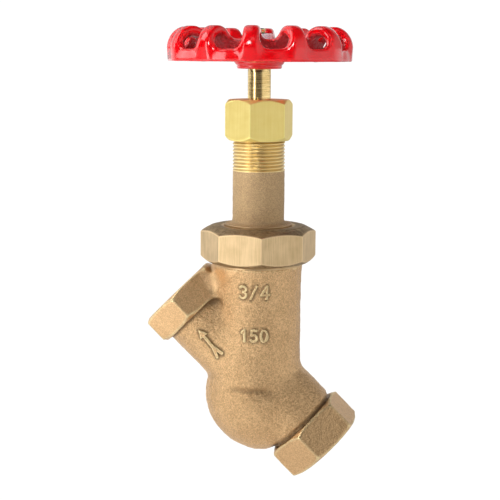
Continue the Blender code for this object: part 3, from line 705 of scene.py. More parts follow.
mats = {
    "body": cast_bronze("cast_bronze", (0.92, 0.605, 0.31), (0.56, 0.338, 0.158)),
    "bored": turned_metal("bored_bronze", (0.70, 0.50, 0.28), (0.50, 0.34, 0.17), (0.28, 0.42), 0.0003),
    "bonnet": cast_bronze("bonnet_bronze", (0.64, 0.45, 0.24), (0.44, 0.295, 0.155), (0.58, 0.72),
                          grain=0.0009, depth=0.00018, metallic=0.6),
    "bonnet_turned": turned_metal("bonnet_turned", (1.0, 0.77, 0.37), (0.84, 0.58, 0.25), (0.28, 0.40)),
    # darker turned bronze for the bonnet's collar and the turned faces below it: painted shade of the crevice
    # at the union nut
    "collar": turned_metal("collar_bronze_painted_shade", (0.50, 0.34, 0.18), (0.36, 0.235, 0.12), (0.36, 0.5), 0.0003),
    "union": milled_bronze("union_bronze", (0.80, 0.59, 0.33), (0.60, 0.425, 0.22)),
    "bronze": turned_metal("machined_bronze", (0.72, 0.52, 0.30), (0.54, 0.37, 0.19), (0.25, 0.4), 0.00025),
    "brass": turned_metal("brass", (0.84, 0.62, 0.27), (0.66, 0.46, 0.18), (0.2, 0.34)),
    "stem": turned_metal("stem_brass", (0.92, 0.70, 0.32), (0.60, 0.39, 0.14), (0.10, 0.18), 0.0005, 0.00003),
    "packing_nut": turned_metal("packing_nut_brass", (0.95, 0.78, 0.28), (0.88, 0.69, 0.21), (0.36, 0.46),
                                0.0006, 0.00001, ALONG_THE_AXIS, 0.75),
    "enamel": red_enamel(),
    "zinc": zinc(),
    "disc": composition(),
    "packing": packing(),
}

# ---------------------------------------------------------------- body casting
PORT = Vector(mounts["pipe_run"]["axis"])
ALONG = np.array(PORT)
ACROSS = np.array((-ALONG[2], 0.0, ALONG[0]))
OUTLET_END = -Vector(mounts["outlet_face"]["pos_m"]).dot(PORT)
INLET_END = Vector(mounts["inlet_face"]["pos_m"]).dot(PORT)
OUTLET_HEX = 12.2 * MM
INLET_HEX = 14.6 * MM
HEX_FLATS = 33.5 * MM
OUTLET_TURN = math.radians(4)
INLET_TURN = math.radians(2)
OUTLET_NECK_R = 14.8 * MM
INLET_NECK_R = 16.0 * MM
CHAMBER_R = 17.9 * MM
FLARE_R = 18.8 * MM
BODY_TOP = 57.0 * MM
BORE_R = 14.2 * MM
SOCKET_R = 13.35 * MM
SOCKET_DEPTH = 14.0 * MM
WATERWAY_R = 10.3 * MM
BULB_CENTRE = np.array((7.3, 0.0, -6.3)) * MM     # along the ports, Y, across
BULB_RADII = np.array((23.5, 18.7, 21.8)) * MM
BULB_WALL = 3.4 * MM
CHAMBER_FOOT = -2.0 * MM


def port_frame(points):
    """Coordinates along the ports, across them upwards, and Y."""
    return points @ ALONG, points @ ACROSS, points[:, 1]


def ellipsoid(a, y, p, radii):
    """Rough distance to an ellipsoid about the bulb's centre."""
    q = np.stack([a - BULB_CENTRE[0], y, p - BULB_CENTRE[2]], axis=1)
    near = np.linalg.norm(q / radii, axis=1)
    far = np.linalg.norm(q / radii ** 2, axis=1)
    return near * (near - 1.0) / np.maximum(far, 1e-6)


def hexagon(a, p, y, outward, end, length, turn, sunk=0.0):
    """Hexagon end of a port with turned chamfers at both of its ends. Where sunk is 1, its inner end runs
    on into the casting."""
    across = -p if outward > 0 else p
    d = polygon(across, y, 6, HEX_FLATS, turn, 0.3 * MM)
    rho = np.hypot(p, y)
    out = a * outward
    end_r = HEX_FLATS / 2 - 0.1 * MM
    run = HEX_FLATS / 2 / math.cos(math.pi / 6) - end_r
    reach = 3.0 * MM * sunk
    for past, drop, deeper in ((out - end, 1.25 * MM, 0.0), (end - length - out, 1.45 * MM, reach)):
        cone = ((rho - end_r) * drop + past * run) / math.hypot(run, drop)
        d = smax(d, cone - deeper, 0.3 * MM)
        d = smax(d, past - deeper, 0.25 * MM)
    return d


def arrow_distance(u, v):
    """Distance in the plane to the flow arrow: u runs from the tip to the tail."""
    head = np.maximum(np.abs(v) * 0.88 - (u + 0.2 * MM) * 0.47, u - 3.6 * MM) + 0.1 * MM
    shaft = segment_distance(u, v, (3.0 * MM, 0.0), (11.5 * MM, 0.0)) - 0.55 * MM
    tail = np.minimum(segment_distance(u, v, (10.0 * MM, 0.2 * MM), (13.4 * MM, 1.3 * MM)),
                      segment_distance(u, v, (10.0 * MM, -0.2 * MM), (13.4 * MM, -1.3 * MM))) - 0.62 * MM
    return np.minimum(np.minimum(head, shaft), tail)


def bow(centre, radius, start, end, steps=9):
    """Points along an arc, angles in degrees."""
    angles = [math.radians(start + (end - start) * i / steps) for i in range(steps + 1)]
    return [(centre[0] + radius[0] * math.cos(t), centre[1] + radius[1] * math.sin(t)) for t in angles]


GLYPHS = {                       # strokes in a box 0.6 wide and 1 high
    "0": [bow((0.3, 0.5), (0.27, 0.47), 0, 360, 14)],
    "1": [[(0.12, 0.76), (0.34, 0.97), (0.34, 0.03)]],
    "3": [bow((0.28, 0.73), (0.24, 0.23), 150, -80), bow((0.28, 0.27), (0.27, 0.25), 80, -155)],
    "4": [[(0.45, 0.03), (0.45, 0.97), (0.03, 0.30), (0.60, 0.30)]],
    "5": [[(0.52, 0.96), (0.12, 0.96), (0.09, 0.56)] + bow((0.27, 0.31), (0.27, 0.28), 120, -140)],
    "/": [[(0.05, 0.0), (0.50, 1.0)]],
}


def mark_distance(u, v, text, height):
    """Distance in the plane to cast numerals centred on the origin."""
    advance = 0.86 * height
    first = -advance * len(text) / 2 + 0.13 * height
    best = np.full(u.shape, 1.0)
    for n, char in enumerate(text):
        for stroke in GLYPHS[char]:
            for a, b in zip(stroke, stroke[1:]):
                start = (first + n * advance + a[0] * height, (a[1] - 0.5) * height)
                end = (first + n * advance + b[0] * height, (b[1] - 0.5) * height)
                best = np.minimum(best, segment_distance(u, v, start, end))
    return best


MARKS = (                        # azimuth, level, numerals, height
    (math.radians(3.6), 38.4 * MM, "3/4", 5.2 * MM),
    (math.radians(3.9), 20.4 * MM, "150", 4.8 * MM),
)
MARK_RAISED = 0.42 * MM
ARROW_TIP = (-30.9 * MM, -0.7 * MM)      # along the ports, round the neck
ARROW_LEAN = math.radians(3.5)
ARROW_RAISED = 0.55 * MM


def relief(points):
    """Height of the raised arrow and numerals over the casting's surface."""
    height = np.zeros(len(points))
    front = points[:, 1] < -6 * MM
    a, p, y = port_frame(points)
    turn = np.arctan2(p, -y)
    u, v = a - ARROW_TIP[0], turn * OUTLET_NECK_R - ARROW_TIP[1]
    near = front & (np.abs(u - 7 * MM) < 11 * MM) & (np.abs(v) < 5 * MM)
    near &= np.abs(np.hypot(p, y) - OUTLET_NECK_R) < 3 * MM
    if near.any():
        un = u[near] * math.cos(ARROW_LEAN) - v[near] * math.sin(ARROW_LEAN)
        vn = u[near] * math.sin(ARROW_LEAN) + v[near] * math.cos(ARROW_LEAN)
        d = arrow_distance(un, vn)
        height[near] = ARROW_RAISED * (1 - step01(-0.15 * MM, 0.45 * MM, d))
    theta = np.arctan2(points[:, 0], -points[:, 1])
    for centre, level, text, size in MARKS:
        u, v = (theta - centre) * CHAMBER_R, points[:, 2] - level
        near = front & (np.abs(u) < size * 1.8) & (np.abs(v) < size)
        if near.any():
            d = mark_distance(u[near], v[near], text, size)
            height[near] = np.maximum(height[near], MARK_RAISED * (1 - step01(0.28 * MM, 0.75 * MM, d)))
    return height


FLARE_LOW, FLARE_HIGH = 41.5 * MM, 47.5 * MM          # chamber's swelling under the union nut
CREASE_Z, CREASE_WIDE, CREASE_DEEP = -3.1 * MM, 1.8 * MM, 0.75 * MM
GROOVE_WIDE, GROOVE_DEEP = 1.3 * MM, 0.9 * MM         # beside the inlet's hexagon


def band(distance, width):
    """Smooth bump that is 1 where the distance is 0."""
    return np.exp(-(distance / width) ** 2)


def casting(points):
    """Outside of the body casting."""
    a, p, y = port_frame(points)
    x, z = points[:, 0], points[:, 2]
    r = np.hypot(x, y)
    rho = np.hypot(p, y)
    wall = CHAMBER_R + (FLARE_R - 0.2 * MM - CHAMBER_R) * step01(FLARE_LOW, FLARE_HIGH, z)
    wall = wall - 0.7 * MM * step01(47.4 * MM, 48.0 * MM, z)
    chamber = smax(r - wall, CHAMBER_FOOT - z, 2.2 * MM)
    outlet = smax(rho - OUTLET_NECK_R, a + 1.0 * MM, 1.0 * MM)
    outlet = np.maximum(outlet, -a - OUTLET_END + OUTLET_HEX / 2)
    inlet = smax(rho - INLET_NECK_R, -2.3 * MM - a, 1.0 * MM)
    inlet = np.maximum(inlet, a - INLET_END + INLET_HEX / 2)
    lower = smin(ellipsoid(a, y, p, BULB_RADII), inlet, 1.2 * MM)
    facing = step01(0.82, 0.93, np.abs(y) / np.maximum(r, 1 * MM))
    crease = band(z - CREASE_Z, CREASE_WIDE) * facing
    d = smin(chamber, outlet, 5.0 * MM)
    d = smin(d, lower + CREASE_DEEP * crease, 1.6 * MM)
    d = d - relief(points)
    groove = band(a - INLET_END + INLET_HEX + 0.4 * MM, GROOVE_WIDE)
    d = d + GROOVE_DEEP * groove * step01(13 * MM, 16 * MM, rho)
    sunk = step01(11.0 * MM, 18.0 * MM, p)
    left = hexagon(a, p, y, -1, OUTLET_END, OUTLET_HEX, OUTLET_TURN, sunk)
    fillet = 0.35 * MM + 2.2 * MM * step01(7.0 * MM, 12.0 * MM, p)
    fillet = fillet + 3.6 * MM * step01(12.0 * MM, 17.0 * MM, p)
    d = smin(d, left, fillet)
    d = smin(d, hexagon(a, p, y, 1, INLET_END, INLET_HEX, INLET_TURN), 0.3 * MM)
    return np.maximum(d, z - BODY_TOP)


def shelter(field, points, normals):
    """How closed in each point is, from 0 in the open to 1 deep in a corner; it sets how much painted shade
    and grime a crevice gets.
    """
    total = 0.0
    for reach, weight in ((0.5 * MM, 0.35), (1.1 * MM, 0.35), (2.4 * MM, 0.30)):
        total = total + weight * np.clip(1 - field(points + normals * reach) / reach, 0.0, 1.0)
    return np.clip(total, 0.0, 1.0)


def port_bore(a, rho, outward, end, start):
    """Threaded socket, its mouth chamfer and the waterway of one port."""
    out = a * outward
    socket = np.maximum(rho - SOCKET_R, end - SOCKET_DEPTH - out)
    mouth = rho - SOCKET_R - 0.1 * MM + np.maximum(end - out, 0.0) * 1.0 - 0.6 * MM
    mouth = np.maximum(mouth, end - 1.5 * MM - out)
    cone = rho - WATERWAY_R - np.clip(out - (end - SOCKET_DEPTH - 2.0 * MM), 0.0, 2.0 * MM) * 0.8
    waterway = np.maximum(cone, start - out)
    return np.minimum(np.minimum(socket, mouth), waterway)


def bores(points):
    """Everything that is hollow in the body."""
    a, p, y = port_frame(points)
    z = points[:, 2]
    r = np.hypot(points[:, 0], y)
    rho = np.hypot(p, y)
    chamber = np.maximum(r - BORE_R - np.maximum(z - BODY_TOP + 0.8 * MM, 0.0), 1.0 * MM - z)
    cavity = smax(ellipsoid(a, y, p, BULB_RADII - BULB_WALL), z + 3.0 * MM, 0.6 * MM)
    seat = np.maximum(r - 10.9 * MM, np.abs(z + 1.0 * MM) - 3.2 * MM)
    d = np.minimum(np.minimum(chamber, cavity), seat)
    d = smin(d, port_bore(a, rho, -1, OUTLET_END, 11.2 * MM), 0.4 * MM)
    return smin(d, port_bore(a, rho, 1, INLET_END, 15.0 * MM), 0.4 * MM)


def body_field(points):
    """The whole body: the casting less its hollows."""
    return smax(casting(points), -bores(points), 0.25 * MM)


def refine(mesh, chosen):
    """Split the faces whose centres are chosen into four."""
    bm = bmesh.new()
    bm.from_mesh(mesh)
    centres = np.array([face.calc_center_median() for face in bm.faces])
    mask = chosen(centres)
    edges = {edge for face, hit in zip(bm.faces, mask) if hit for edge in face.edges}
    bmesh.ops.subdivide_edges(bm, edges=list(edges), cuts=1, use_grid_fill=True)
    bmesh.ops.triangulate(bm, faces=[face for face in bm.faces if len(face.verts) > 4])
    bm.to_mesh(mesh)
    bm.free()
    mesh.shade_smooth()


def near_marks(centres):
    """Which points lie on the raised marks."""
    return relief(centres) > 0.0


BODY_GRAIN = 0.13 * MM
HEX_GRAIN = 0.35                 # the hexagons' grain as a share of the casting's


def make_body():
    """Body casting: rough outside, machined bores and end faces."""
    low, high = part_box("body")
    margin, step = 1.5 * MM, 0.66 * MM
    verts, quads = surface_nets(body_field, np.array(low) - margin, np.array(high) + margin, step)
    verts, _ = settle(body_field, verts)
    mesh = make_mesh("body_casting", verts, quads)
    for _ in range(2):
        refine(mesh, near_marks)
    points, normals = settle(body_field, positions(mesh))
    set_positions(mesh, points)
    store_edges(mesh)
    z = points[:, 2]
    under_nut = step01(34 * MM, 41 * MM, z)
    # painted shade with some grime in the crevices, from how closed in each point is; much less of it just
    # under the union nut
    store(mesh, "shade_and_grime", shelter(body_field, points, normals) * (1 - 0.85 * under_nut))
    a = points @ ALONG
    on_hex = (a < -OUTLET_END + OUTLET_HEX - 0.5 * MM) | (a > INLET_END - INLET_HEX + 0.5 * MM)
    store(mesh, "grain", np.where(on_hex, 0.42, 1.0))
    faced = (np.abs(a + OUTLET_END) < 0.12 * MM) | (np.abs(a - INLET_END) < 0.12 * MM)
    cast = step01(0.0, 0.5 * MM, casting(points) + bores(points)) * ~faced
    cast = cast * (1 - step01(47.0 * MM, 47.6 * MM, z))
    strength = np.where(on_hex, HEX_GRAIN, 1.0)
    fine = BODY_GRAIN * layered(points, 1.5 * MM, 7) * strength
    broad = BODY_GRAIN * noise(points, 6 * MM, 21) * strength
    set_positions(mesh, points + normals * ((fine + broad) * cast)[:, None])
    obj = piece("body_casting", mesh, "body", "cast_bronze", mats["body"], mats["bored"])
    for face in mesh.polygons:
        rough = cast[face.vertices[0]] > 0.02 or cast[face.vertices[2]] > 0.02
        face.material_index = 0 if rough else 1
    return obj


def lay_on_port(mesh, outward):
    """Turn a mesh made along +Z on to the port axis."""
    angle = math.pi * 3 / 4 if outward > 0 else -math.pi / 4
    mesh.transform(Matrix.Rotation(angle, 4, "Y"))


def make_port_thread(name, outward, end):
    """Tapered pipe thread of one port, 14 turns to the inch."""
    pitch = 25.4 * MM / 14
    top = end - 0.35 * MM
    bottom = end - SOCKET_DEPTH
    mouth_r, deep_r = 12.25 * MM, 11.80 * MM
    outer_r, mouth = SOCKET_R + 0.15 * MM, 0.9 * MM
    profile = [(outer_r, top), (outer_r, bottom)]
    profile += dense([(deep_r, bottom), (mouth_r, top - mouth)], 0.14 * MM) + [(mouth_r + mouth, top)]

    def warp(theta, r, z):
        crest = deep_r + (mouth_r - deep_r) * (z - bottom) / (top - bottom)
        phase = (z / pitch - theta / TAU) % 1.0
        cut = np.clip((np.abs(2 * phase - 1) - 0.08) / 0.84, 0.0, 1.0)
        fade = step01(bottom, bottom + pitch, z)
        on = np.abs(r - crest) < 0.5 * MM
        return np.where(on, r + 1.1 * MM * cut * fade, r)

    mesh = revolve(name, profile, even_angles(112), warp)
    store_edges(mesh)
    lay_on_port(mesh, outward)
    return add_piece(name, mesh, NODE_BODY["body"], "cast_bronze", mats["bored"])


UNION_PITCH = 25.4 * MM / 16


def make_union_thread():
    """Screw on the body's collar that takes the union ring nut."""
    bottom, top = 47.55 * MM, BODY_TOP - 0.3 * MM
    crest = 18.72 * MM
    outer = dense([(crest, top - 0.5 * MM), (crest, bottom)], 0.12 * MM)
    profile = [(17.9 * MM, top)] + outer + [(17.6 * MM, bottom), (17.6 * MM, top)]

    def warp(theta, r, z):
        return screw(theta, r, z, crest, 0.85 * MM, UNION_PITCH, bottom, top, flat=0.06)

    mesh = revolve("body_union_thread", profile, even_angles(128), warp)
    store_edges(mesh)
    return add_piece("body_union_thread", mesh, NODE_BODY["body"], "cast_bronze", mats["bored"])


make_body()
make_port_thread("outlet_thread", -1, OUTLET_END)
make_port_thread("inlet_thread", 1, INLET_END)
make_union_thread()

# ---------------------------------------------------------------- bonnet
STEM_PITCH = 2.54 * MM
STEM_THREAD_R = 6.35 * MM
STEM_HOLE_R = 5.06 * MM                  # what the stem slides through
PACKING_PITCH = 25.4 * MM / 18           # packing nut on the bonnet
THREAD_STEP = 0.13 * MM                  # longest profile segment on the fine threads
NECK_FILLET = ((0.0, 1.6), (0.25, 0.9), (0.8, 0.35), (1.6, 0.1))     # millimetres out and up from the collar


def make_bonnet():
    """Bonnet: shoulder and collar in the union nut, rough neck, outside thread and stuffing box."""
    bottom, top = span("bonnet")
    spigot_r, spigot_top = 13.85 * MM, 57.35 * MM
    shoulder_r, shoulder = 17.55 * MM, 60.7 * MM
    collar_r, collar = 13.95 * MM, 64.55 * MM
    neck_r = 10.7 * MM
    thread_r, thread_bottom = 10.84 * MM, 86.6 * MM
    box_r, box_bottom = 7.6 * MM, 93.0 * MM
    screw_r, screw_depth = STEM_THREAD_R - 0.7 * MM, 1.2 * MM
    screw_top, relief_top, hole_bottom = 73.3 * MM, 87.0 * MM, 88.5 * MM
    upper = [(box_r, top), (thread_r - 0.6 * MM, top), (thread_r, top - 0.7 * MM), (thread_r, thread_bottom)]
    threads = dense([(thread_r, top - 0.8 * MM), (thread_r, thread_bottom)], THREAD_STEP)
    neck = [(neck_r, thread_bottom - 0.15 * MM)]
    neck += [(neck_r + out * MM, collar + up * MM) for out, up in NECK_FILLET]
    lower = [(neck_r + 1.8 * MM, collar), (collar_r, collar), (collar_r, shoulder), (shoulder_r, shoulder),
             (shoulder_r, spigot_top), (spigot_r, spigot_top), (spigot_r, bottom),
             (screw_r + screw_depth, bottom)]
    inner_screw = dense([(screw_r, bottom + 0.5 * MM), (screw_r, relief_top - 0.5 * MM)], 0.24 * MM)
    inner = [(screw_r + screw_depth, relief_top), (STEM_HOLE_R, hole_bottom), (STEM_HOLE_R, box_bottom),
             (box_r, box_bottom), (box_r, top - 0.3 * MM)]
    profile = rounded(upper, 0.15 * MM, closed=False)[:-1] + threads[1:] + dense(neck, 0.45 * MM)
    profile += rounded(lower, 0.3 * MM, closed=False) + inner_screw + rounded(inner, 0.15 * MM, closed=False)

    def warp(theta, r, z):
        r = screw(theta, r, z, thread_r, 0.56 * MM, PACKING_PITCH, thread_bottom - 0.2 * MM, top - 0.5 * MM,
                  flat=0.1, runout=0.6)
        return nut_screw(theta, r, z, screw_r, screw_depth, STEM_PITCH, bottom + 0.2 * MM, screw_top,
                         flat=0.2)

    mesh = revolve("bonnet", profile, even_angles(144), warp)
    store_edges(mesh)
    plain_grain(mesh)
    points = positions(mesh)
    r = np.hypot(points[:, 0], points[:, 1])
    cast = (r > neck_r - 0.5 * MM) & (r < neck_r + 2.5 * MM)
    cast = cast * step01(collar - 0.1 * MM, collar + 0.3 * MM, points[:, 2])
    cast = cast * (1 - step01(thread_bottom - 0.5 * MM, thread_bottom - 0.1 * MM, points[:, 2]))
    wave = 0.05 * MM * layered(points, 1.3 * MM, 3) + 0.08 * MM * noise(points, 6 * MM, 5)
    points[:, :2] *= (1 + wave * cast / np.maximum(r, 1 * MM))[:, None]
    set_positions(mesh, points)
    looks = mats["bonnet"], mats["bonnet_turned"], mats["collar"]
    obj = piece("bonnet_fine", mesh, "bonnet", "bonnet_bronze", *looks)
    # turned faces below the thread take the darker collar material, which paints in the shade of the crevice
    # at the union nut
    for face in mesh.polygons:
        rough = cast[face.vertices[0]] > 0.05 or cast[face.vertices[2]] > 0.05
        face.material_index = 0 if rough else 2 if face.center.z < thread_bottom - 1.0 * MM else 1
    return obj


make_bonnet()


# ---------------------------------------------------------------- nuts
def nut_radii(flats, sides, chamfer, over):
    """Radius of a nut's end faces, and one a little past its corners."""
    return flats / 2 - chamfer, flats / 2 / math.cos(math.pi / sides) + over


def make_union_nut():
    """Octagonal ring nut: milled flats, cast conical top, deep chamfers."""
    bottom, top = span("union_ring_nut")
    flats, sides, turn = 44.45 * MM, 8, math.radians(12)
    end_r, out_r = nut_radii(flats, sides, 2.4 * MM, 0.15 * MM)
    drop, cone = 2.3 * MM, 0.27 * MM
    opening_r, lip, thread_r, depth = 14.6 * MM, 61.0 * MM, 19.1 * MM, 0.85 * MM
    crest, clear_r = thread_r - depth, thread_r + 0.05 * MM
    edge = 0.35 * MM
    outline = [(opening_r, top), (opening_r + 2.0 * MM, top), (end_r, top - cone), (out_r, top - drop - cone),
               (out_r, bottom + drop), (end_r + 1.0 * MM, bottom), (thread_r + 0.9 * MM, bottom),
               (crest, bottom + 0.9 * MM)]
    inner = [(crest, lip - 2.2 * MM), (clear_r, lip - 2.0 * MM), (clear_r, lip), (opening_r, lip),
             (opening_r, top)]
    profile = dense(rounded(outline, 0.5 * MM, closed=False)[1:-1], 0.42 * MM)
    profile += dense([(crest, bottom + 1.0 * MM), (crest, lip - 2.2 * MM)], THREAD_STEP)
    profile += rounded(inner, 0.2 * MM, closed=False)

    def warp(theta, r, z):
        cut = np.where(r > 19.9 * MM, clip_flats(theta, r, sides, flats, turn, edge), r)
        return nut_screw(theta, cut, z, crest, depth, UNION_PITCH, bottom + 0.9 * MM, lip - 1.6 * MM,
                         flat=0.06)

    mesh = revolve("union_ring_nut", profile, corner_angles(sides, turn, 26), warp)
    store_edges(mesh)
    points = positions(mesh)
    theta = np.arctan2(points[:, 1], points[:, 0])
    r = np.hypot(points[:, 0], points[:, 1])
    within = r < clip_flats(theta, np.full(len(r), 1.0), sides, flats, turn, edge) - 0.12 * MM
    cast = (points[:, 2] > top - 2.9 * MM) & (r > opening_r + 0.4 * MM) & within
    low = (points[:, 2] < bottom + 2.9 * MM) & (r > thread_r + 1.2 * MM) & within
    store(mesh, "cast", (cast | low).astype(float))
    bumps = 0.05 * MM * layered(points, 1.4 * MM, 11) * cast
    points[:, 2] = np.minimum(points[:, 2] + np.minimum(bumps, 0.0), top)
    set_positions(mesh, points)
    return piece("union_nut_fine", mesh, "union_ring_nut", "union_bronze", mats["union"])


def make_packing_nut():
    """Hexagonal nut of drawn brass bar with large turned chamfers."""
    bottom, top = span("packing_nut")
    flats, sides, turn = 25.0 * MM, 6, math.radians(-5.7)
    end_r, out_r = nut_radii(flats, sides, 0.1 * MM, 0.2 * MM)
    drop, depth = 2.05 * MM, 0.74 * MM
    thread_r = 11.15 * MM
    crest = thread_r - depth
    plate = top - 3.0 * MM
    outline = [(STEM_HOLE_R, top), (end_r, top), (out_r, top - drop), (out_r, bottom + drop), (end_r, bottom),
               (thread_r + 0.5 * MM, bottom), (crest, bottom + 0.9 * MM)]
    inner = [(thread_r, plate - 1.1 * MM), (thread_r, plate), (STEM_HOLE_R, plate), (STEM_HOLE_R, top)]
    profile = dense(rounded(outline, 0.4 * MM, closed=False)[1:-1], 0.4 * MM)
    profile += dense([(crest, bottom + 1.0 * MM), (crest, plate - 1.2 * MM)], THREAD_STEP)
    profile += rounded(inner, 0.2 * MM, closed=False)

    def warp(theta, r, z):
        cut = np.where(r > thread_r + 0.55 * MM, clip_flats(theta, r, sides, flats, turn, 0.4 * MM), r)
        return nut_screw(theta, cut, z, crest, depth, PACKING_PITCH, bottom + 0.9 * MM, plate - 1.0 * MM,
                         flat=0.06)

    return turned_piece("packing_nut_fine", "packing_nut", "packing_nut_brass", mats["packing_nut"], profile,
                        corner_angles(sides, turn, 26), warp)


def make_plain_nut(node, flats, turn, bore_r, slot, mat):
    """Small hexagon nut with a threaded bore."""
    bottom, top = span(node)
    depth, chamfer = 0.35 * MM, 0.4 * MM
    mouth_r = bore_r + depth / 2
    end_r, out_r = nut_radii(flats, 6, 0.05 * MM, 0.05 * MM)
    outline = [(mouth_r, top), (end_r, top), (out_r, top - chamfer), (out_r, bottom + chamfer),
               (end_r, bottom), (mouth_r, bottom)]
    profile = dense(rounded(outline, 0.15 * MM, closed=False), 0.4 * MM)
    profile += dense([(bore_r, bottom + 0.3 * MM), (bore_r, top - 0.3 * MM)], 0.08 * MM)

    def warp(theta, r, z):
        cut = np.where(r > bore_r + 1.0 * MM, clip_flats(theta, r, 6, flats, turn, 0.12 * MM), r)
        return nut_screw(theta, cut, z, bore_r, depth, depth * 1.5, bottom + 0.2 * MM, top - 0.2 * MM)

    return turned_piece(node + "_fine", node, slot, mat, profile, corner_angles(6, turn, 14), warp)


make_union_nut()
make_packing_nut()
make_plain_nut("wheel_nut", 9.8 * MM, math.radians(20), 2.4 * MM, "zinc_plate", mats["zinc"])
make_plain_nut("disc_nut", 9.5 * MM, 0.0, 3.1 * MM, "brass", mats["brass"])


# ---------------------------------------------------------------- stem and turned pieces
def make_stem():
    """Stem: threaded end for the wheel nut, square, shank, screw, and the head in the disc holder."""
    bottom, top = span("stem")
    shank_r, end_r = 4.755 * MM, 2.35 * MM
    square_low, square_high, square_wide = 128.8 * MM, 137.5 * MM, 6.8 * MM
    screw_low, screw_high, screw_depth = 31.0 * MM, 76.0 * MM, 1.15 * MM
    tail_r, head_r, head_top = 5.2 * MM, 7.4 * MM, 14.6 * MM
    tip = [(0.2 * MM, top), (end_r - 0.45 * MM, top), (end_r, top - 0.5 * MM), (end_r, top - 1.2 * MM)]
    square = [(end_r, square_high + 0.1 * MM), (end_r, square_high), (shank_r, square_high),
              (shank_r, square_low - 1.0 * MM)]
    head = [(tail_r, screw_low - 0.8 * MM), (tail_r, head_top), (head_r, head_top), (head_r, bottom),
            (0.2 * MM, bottom)]
    profile = rounded(tip, 0.15 * MM, closed=False)
    profile += dense([(end_r, top - 1.25 * MM), (end_r, square_high + 0.2 * MM)], 0.1 * MM)
    profile += rounded(square, 0.2 * MM, closed=False)[1:]
    profile += dense([(shank_r, square_low - 1.2 * MM), (shank_r, screw_high + 1.6 * MM)], 1.2 * MM)[1:]
    profile += [(STEM_THREAD_R - 1.2 * MM, screw_high + 0.4 * MM)]
    profile += dense([(STEM_THREAD_R, screw_high), (STEM_THREAD_R, screw_low)], 0.24 * MM)
    profile += rounded(head, 0.3 * MM, closed=False)

    def warp(theta, r, z):
        r = screw(theta, r, z, STEM_THREAD_R, screw_depth, STEM_PITCH, screw_low - 0.1 * MM,
                  screw_high + 0.1 * MM, flat=0.2)
        r = screw(theta, r, z, end_r, 0.35 * MM, 0.8 * MM, square_high + 0.3 * MM, top - 1.0 * MM)
        flat = clip_flats(theta, r, 4, square_wide, math.pi / 4, 0.15 * MM)
        squared = (z > square_low) & (z < square_high + 0.01 * MM) & (r > square_wide / 2)
        return np.where(squared, flat, r)

    return turned_piece("stem_fine", "stem", "stem_brass", mats["stem"], profile, even_angles(96), warp,
                        closed=False)


def make_ring(node, outline, slot, mat, radius=0.15 * MM):
    """Turned ring with rounded edges."""
    profile = dense(rounded(outline, radius), 0.5 * MM)
    return turned_piece(node + "_fine", node, slot, mat, profile, even_angles(72))


def make_washer(node, inner, outer, slot, mat, radius=0.15 * MM):
    """Plain ring that fills its CAD node's height. Its radii are in millimetres."""
    low, high = span(node)
    inner, outer = inner * MM, outer * MM
    return make_ring(node, [(outer, high), (outer, low), (inner, low), (inner, high)], slot, mat, radius)


def make_seat_ring():
    """Seat ring with its wrench groove."""
    low, high = span("seat_ring")
    body_r, groove_r = 10.6 * MM, 12.2 * MM
    groove_top, groove_low = high - 1.2 * MM, high - 2.7 * MM
    outline = [(9.5 * MM, high), (body_r, groove_top), (groove_r, groove_top), (groove_r, groove_low),
               (body_r, groove_low), (body_r, low), (9.0 * MM, low), (9.0 * MM, high)]
    make_ring("seat_ring", outline, "machined_bronze", mats["bronze"])


def make_gland():
    """Packing gland: a sleeve in the stuffing box under a flange in the packing nut."""
    low, high = span("packing_gland")
    flange_r, flange_low, sleeve_r, bore_r = 9.8 * MM, 110.0 * MM, 7.3 * MM, 5.1 * MM
    outline = [(flange_r, high), (flange_r, flange_low), (sleeve_r, flange_low), (sleeve_r, low),
               (bore_r, low), (bore_r, high)]
    make_ring("packing_gland", outline, "brass", mats["brass"])


def make_disc_holder():
    """Disc holder: a cup for the stem's head above, a recess for the disc and a stud below."""
    low, high = span("disc_holder")
    axis_r, cup_r, wall_r, cup_floor = 0.1 * MM, 7.9 * MM, 10.2 * MM, 11.7 * MM
    rim_r, rim_low, recess_r, recess_top, stud_r = 13.2 * MM, 5.5 * MM, 12.0 * MM, 7.6 * MM, 3.0 * MM
    outline = [(axis_r, cup_floor), (cup_r, cup_floor), (cup_r, high), (wall_r, high), (wall_r, 11.6 * MM),
               (12.6 * MM, 10.6 * MM), (rim_r, 10.0 * MM), (rim_r, rim_low), (recess_r, rim_low),
               (recess_r, recess_top), (stud_r, recess_top), (stud_r, low), (axis_r, low)]
    profile = dense(rounded(outline, 0.2 * MM, closed=False), 0.5 * MM)
    turned_piece("disc_holder_fine", "disc_holder", "machined_bronze", mats["bronze"], profile,
                 even_angles(72), closed=False)


def make_holder_nut():
    """Hexagon-headed nut that keeps the stem's head in the disc holder."""
    low, high = span("disc_holder_nut")
    head_low, head_r, sleeve_r, bore_r = 19.8 * MM, 9.5 * MM, 7.6 * MM, 6.65 * MM
    outline = [(bore_r, high), (head_r - 0.6 * MM, high), (head_r, high - 0.6 * MM), (head_r, head_low),
               (sleeve_r, head_low), (sleeve_r, low), (bore_r, low)]

    def warp(theta, r, z):
        flat = clip_flats(theta, r, 6, 16.8 * MM, 0.0, 0.15 * MM)
        head = (z > head_low - 0.1 * MM) & (r > sleeve_r + 0.05 * MM)
        return np.where(head, np.maximum(flat, sleeve_r + 0.1 * MM), r)

    profile = dense(rounded(outline, 0.15 * MM), 0.4 * MM)
    turned_piece("disc_holder_nut_fine", "disc_holder_nut", "brass", mats["brass"], profile,
                 corner_angles(6, 0.0, 16), warp)


make_stem()
make_seat_ring()
make_washer("wheel_washer", 2.65, 5.2, "zinc_plate", mats["zinc"])
make_washer("disc_washer", 3.4, 7.0, "brass", mats["brass"])
make_washer("packing_base_washer", 5.1, 7.3, "brass", mats["brass"])
make_washer("seat_disc", 3.4, 11.7, "composition_disc", mats["disc"], 0.25 * MM)
for ring in range(1, 5):
    make_washer("packing_ring_%d" % ring, 5.1, 7.3, "graphite_packing", mats["packing"], 0.5 * MM)
make_gland()
make_disc_holder()
make_holder_nut()

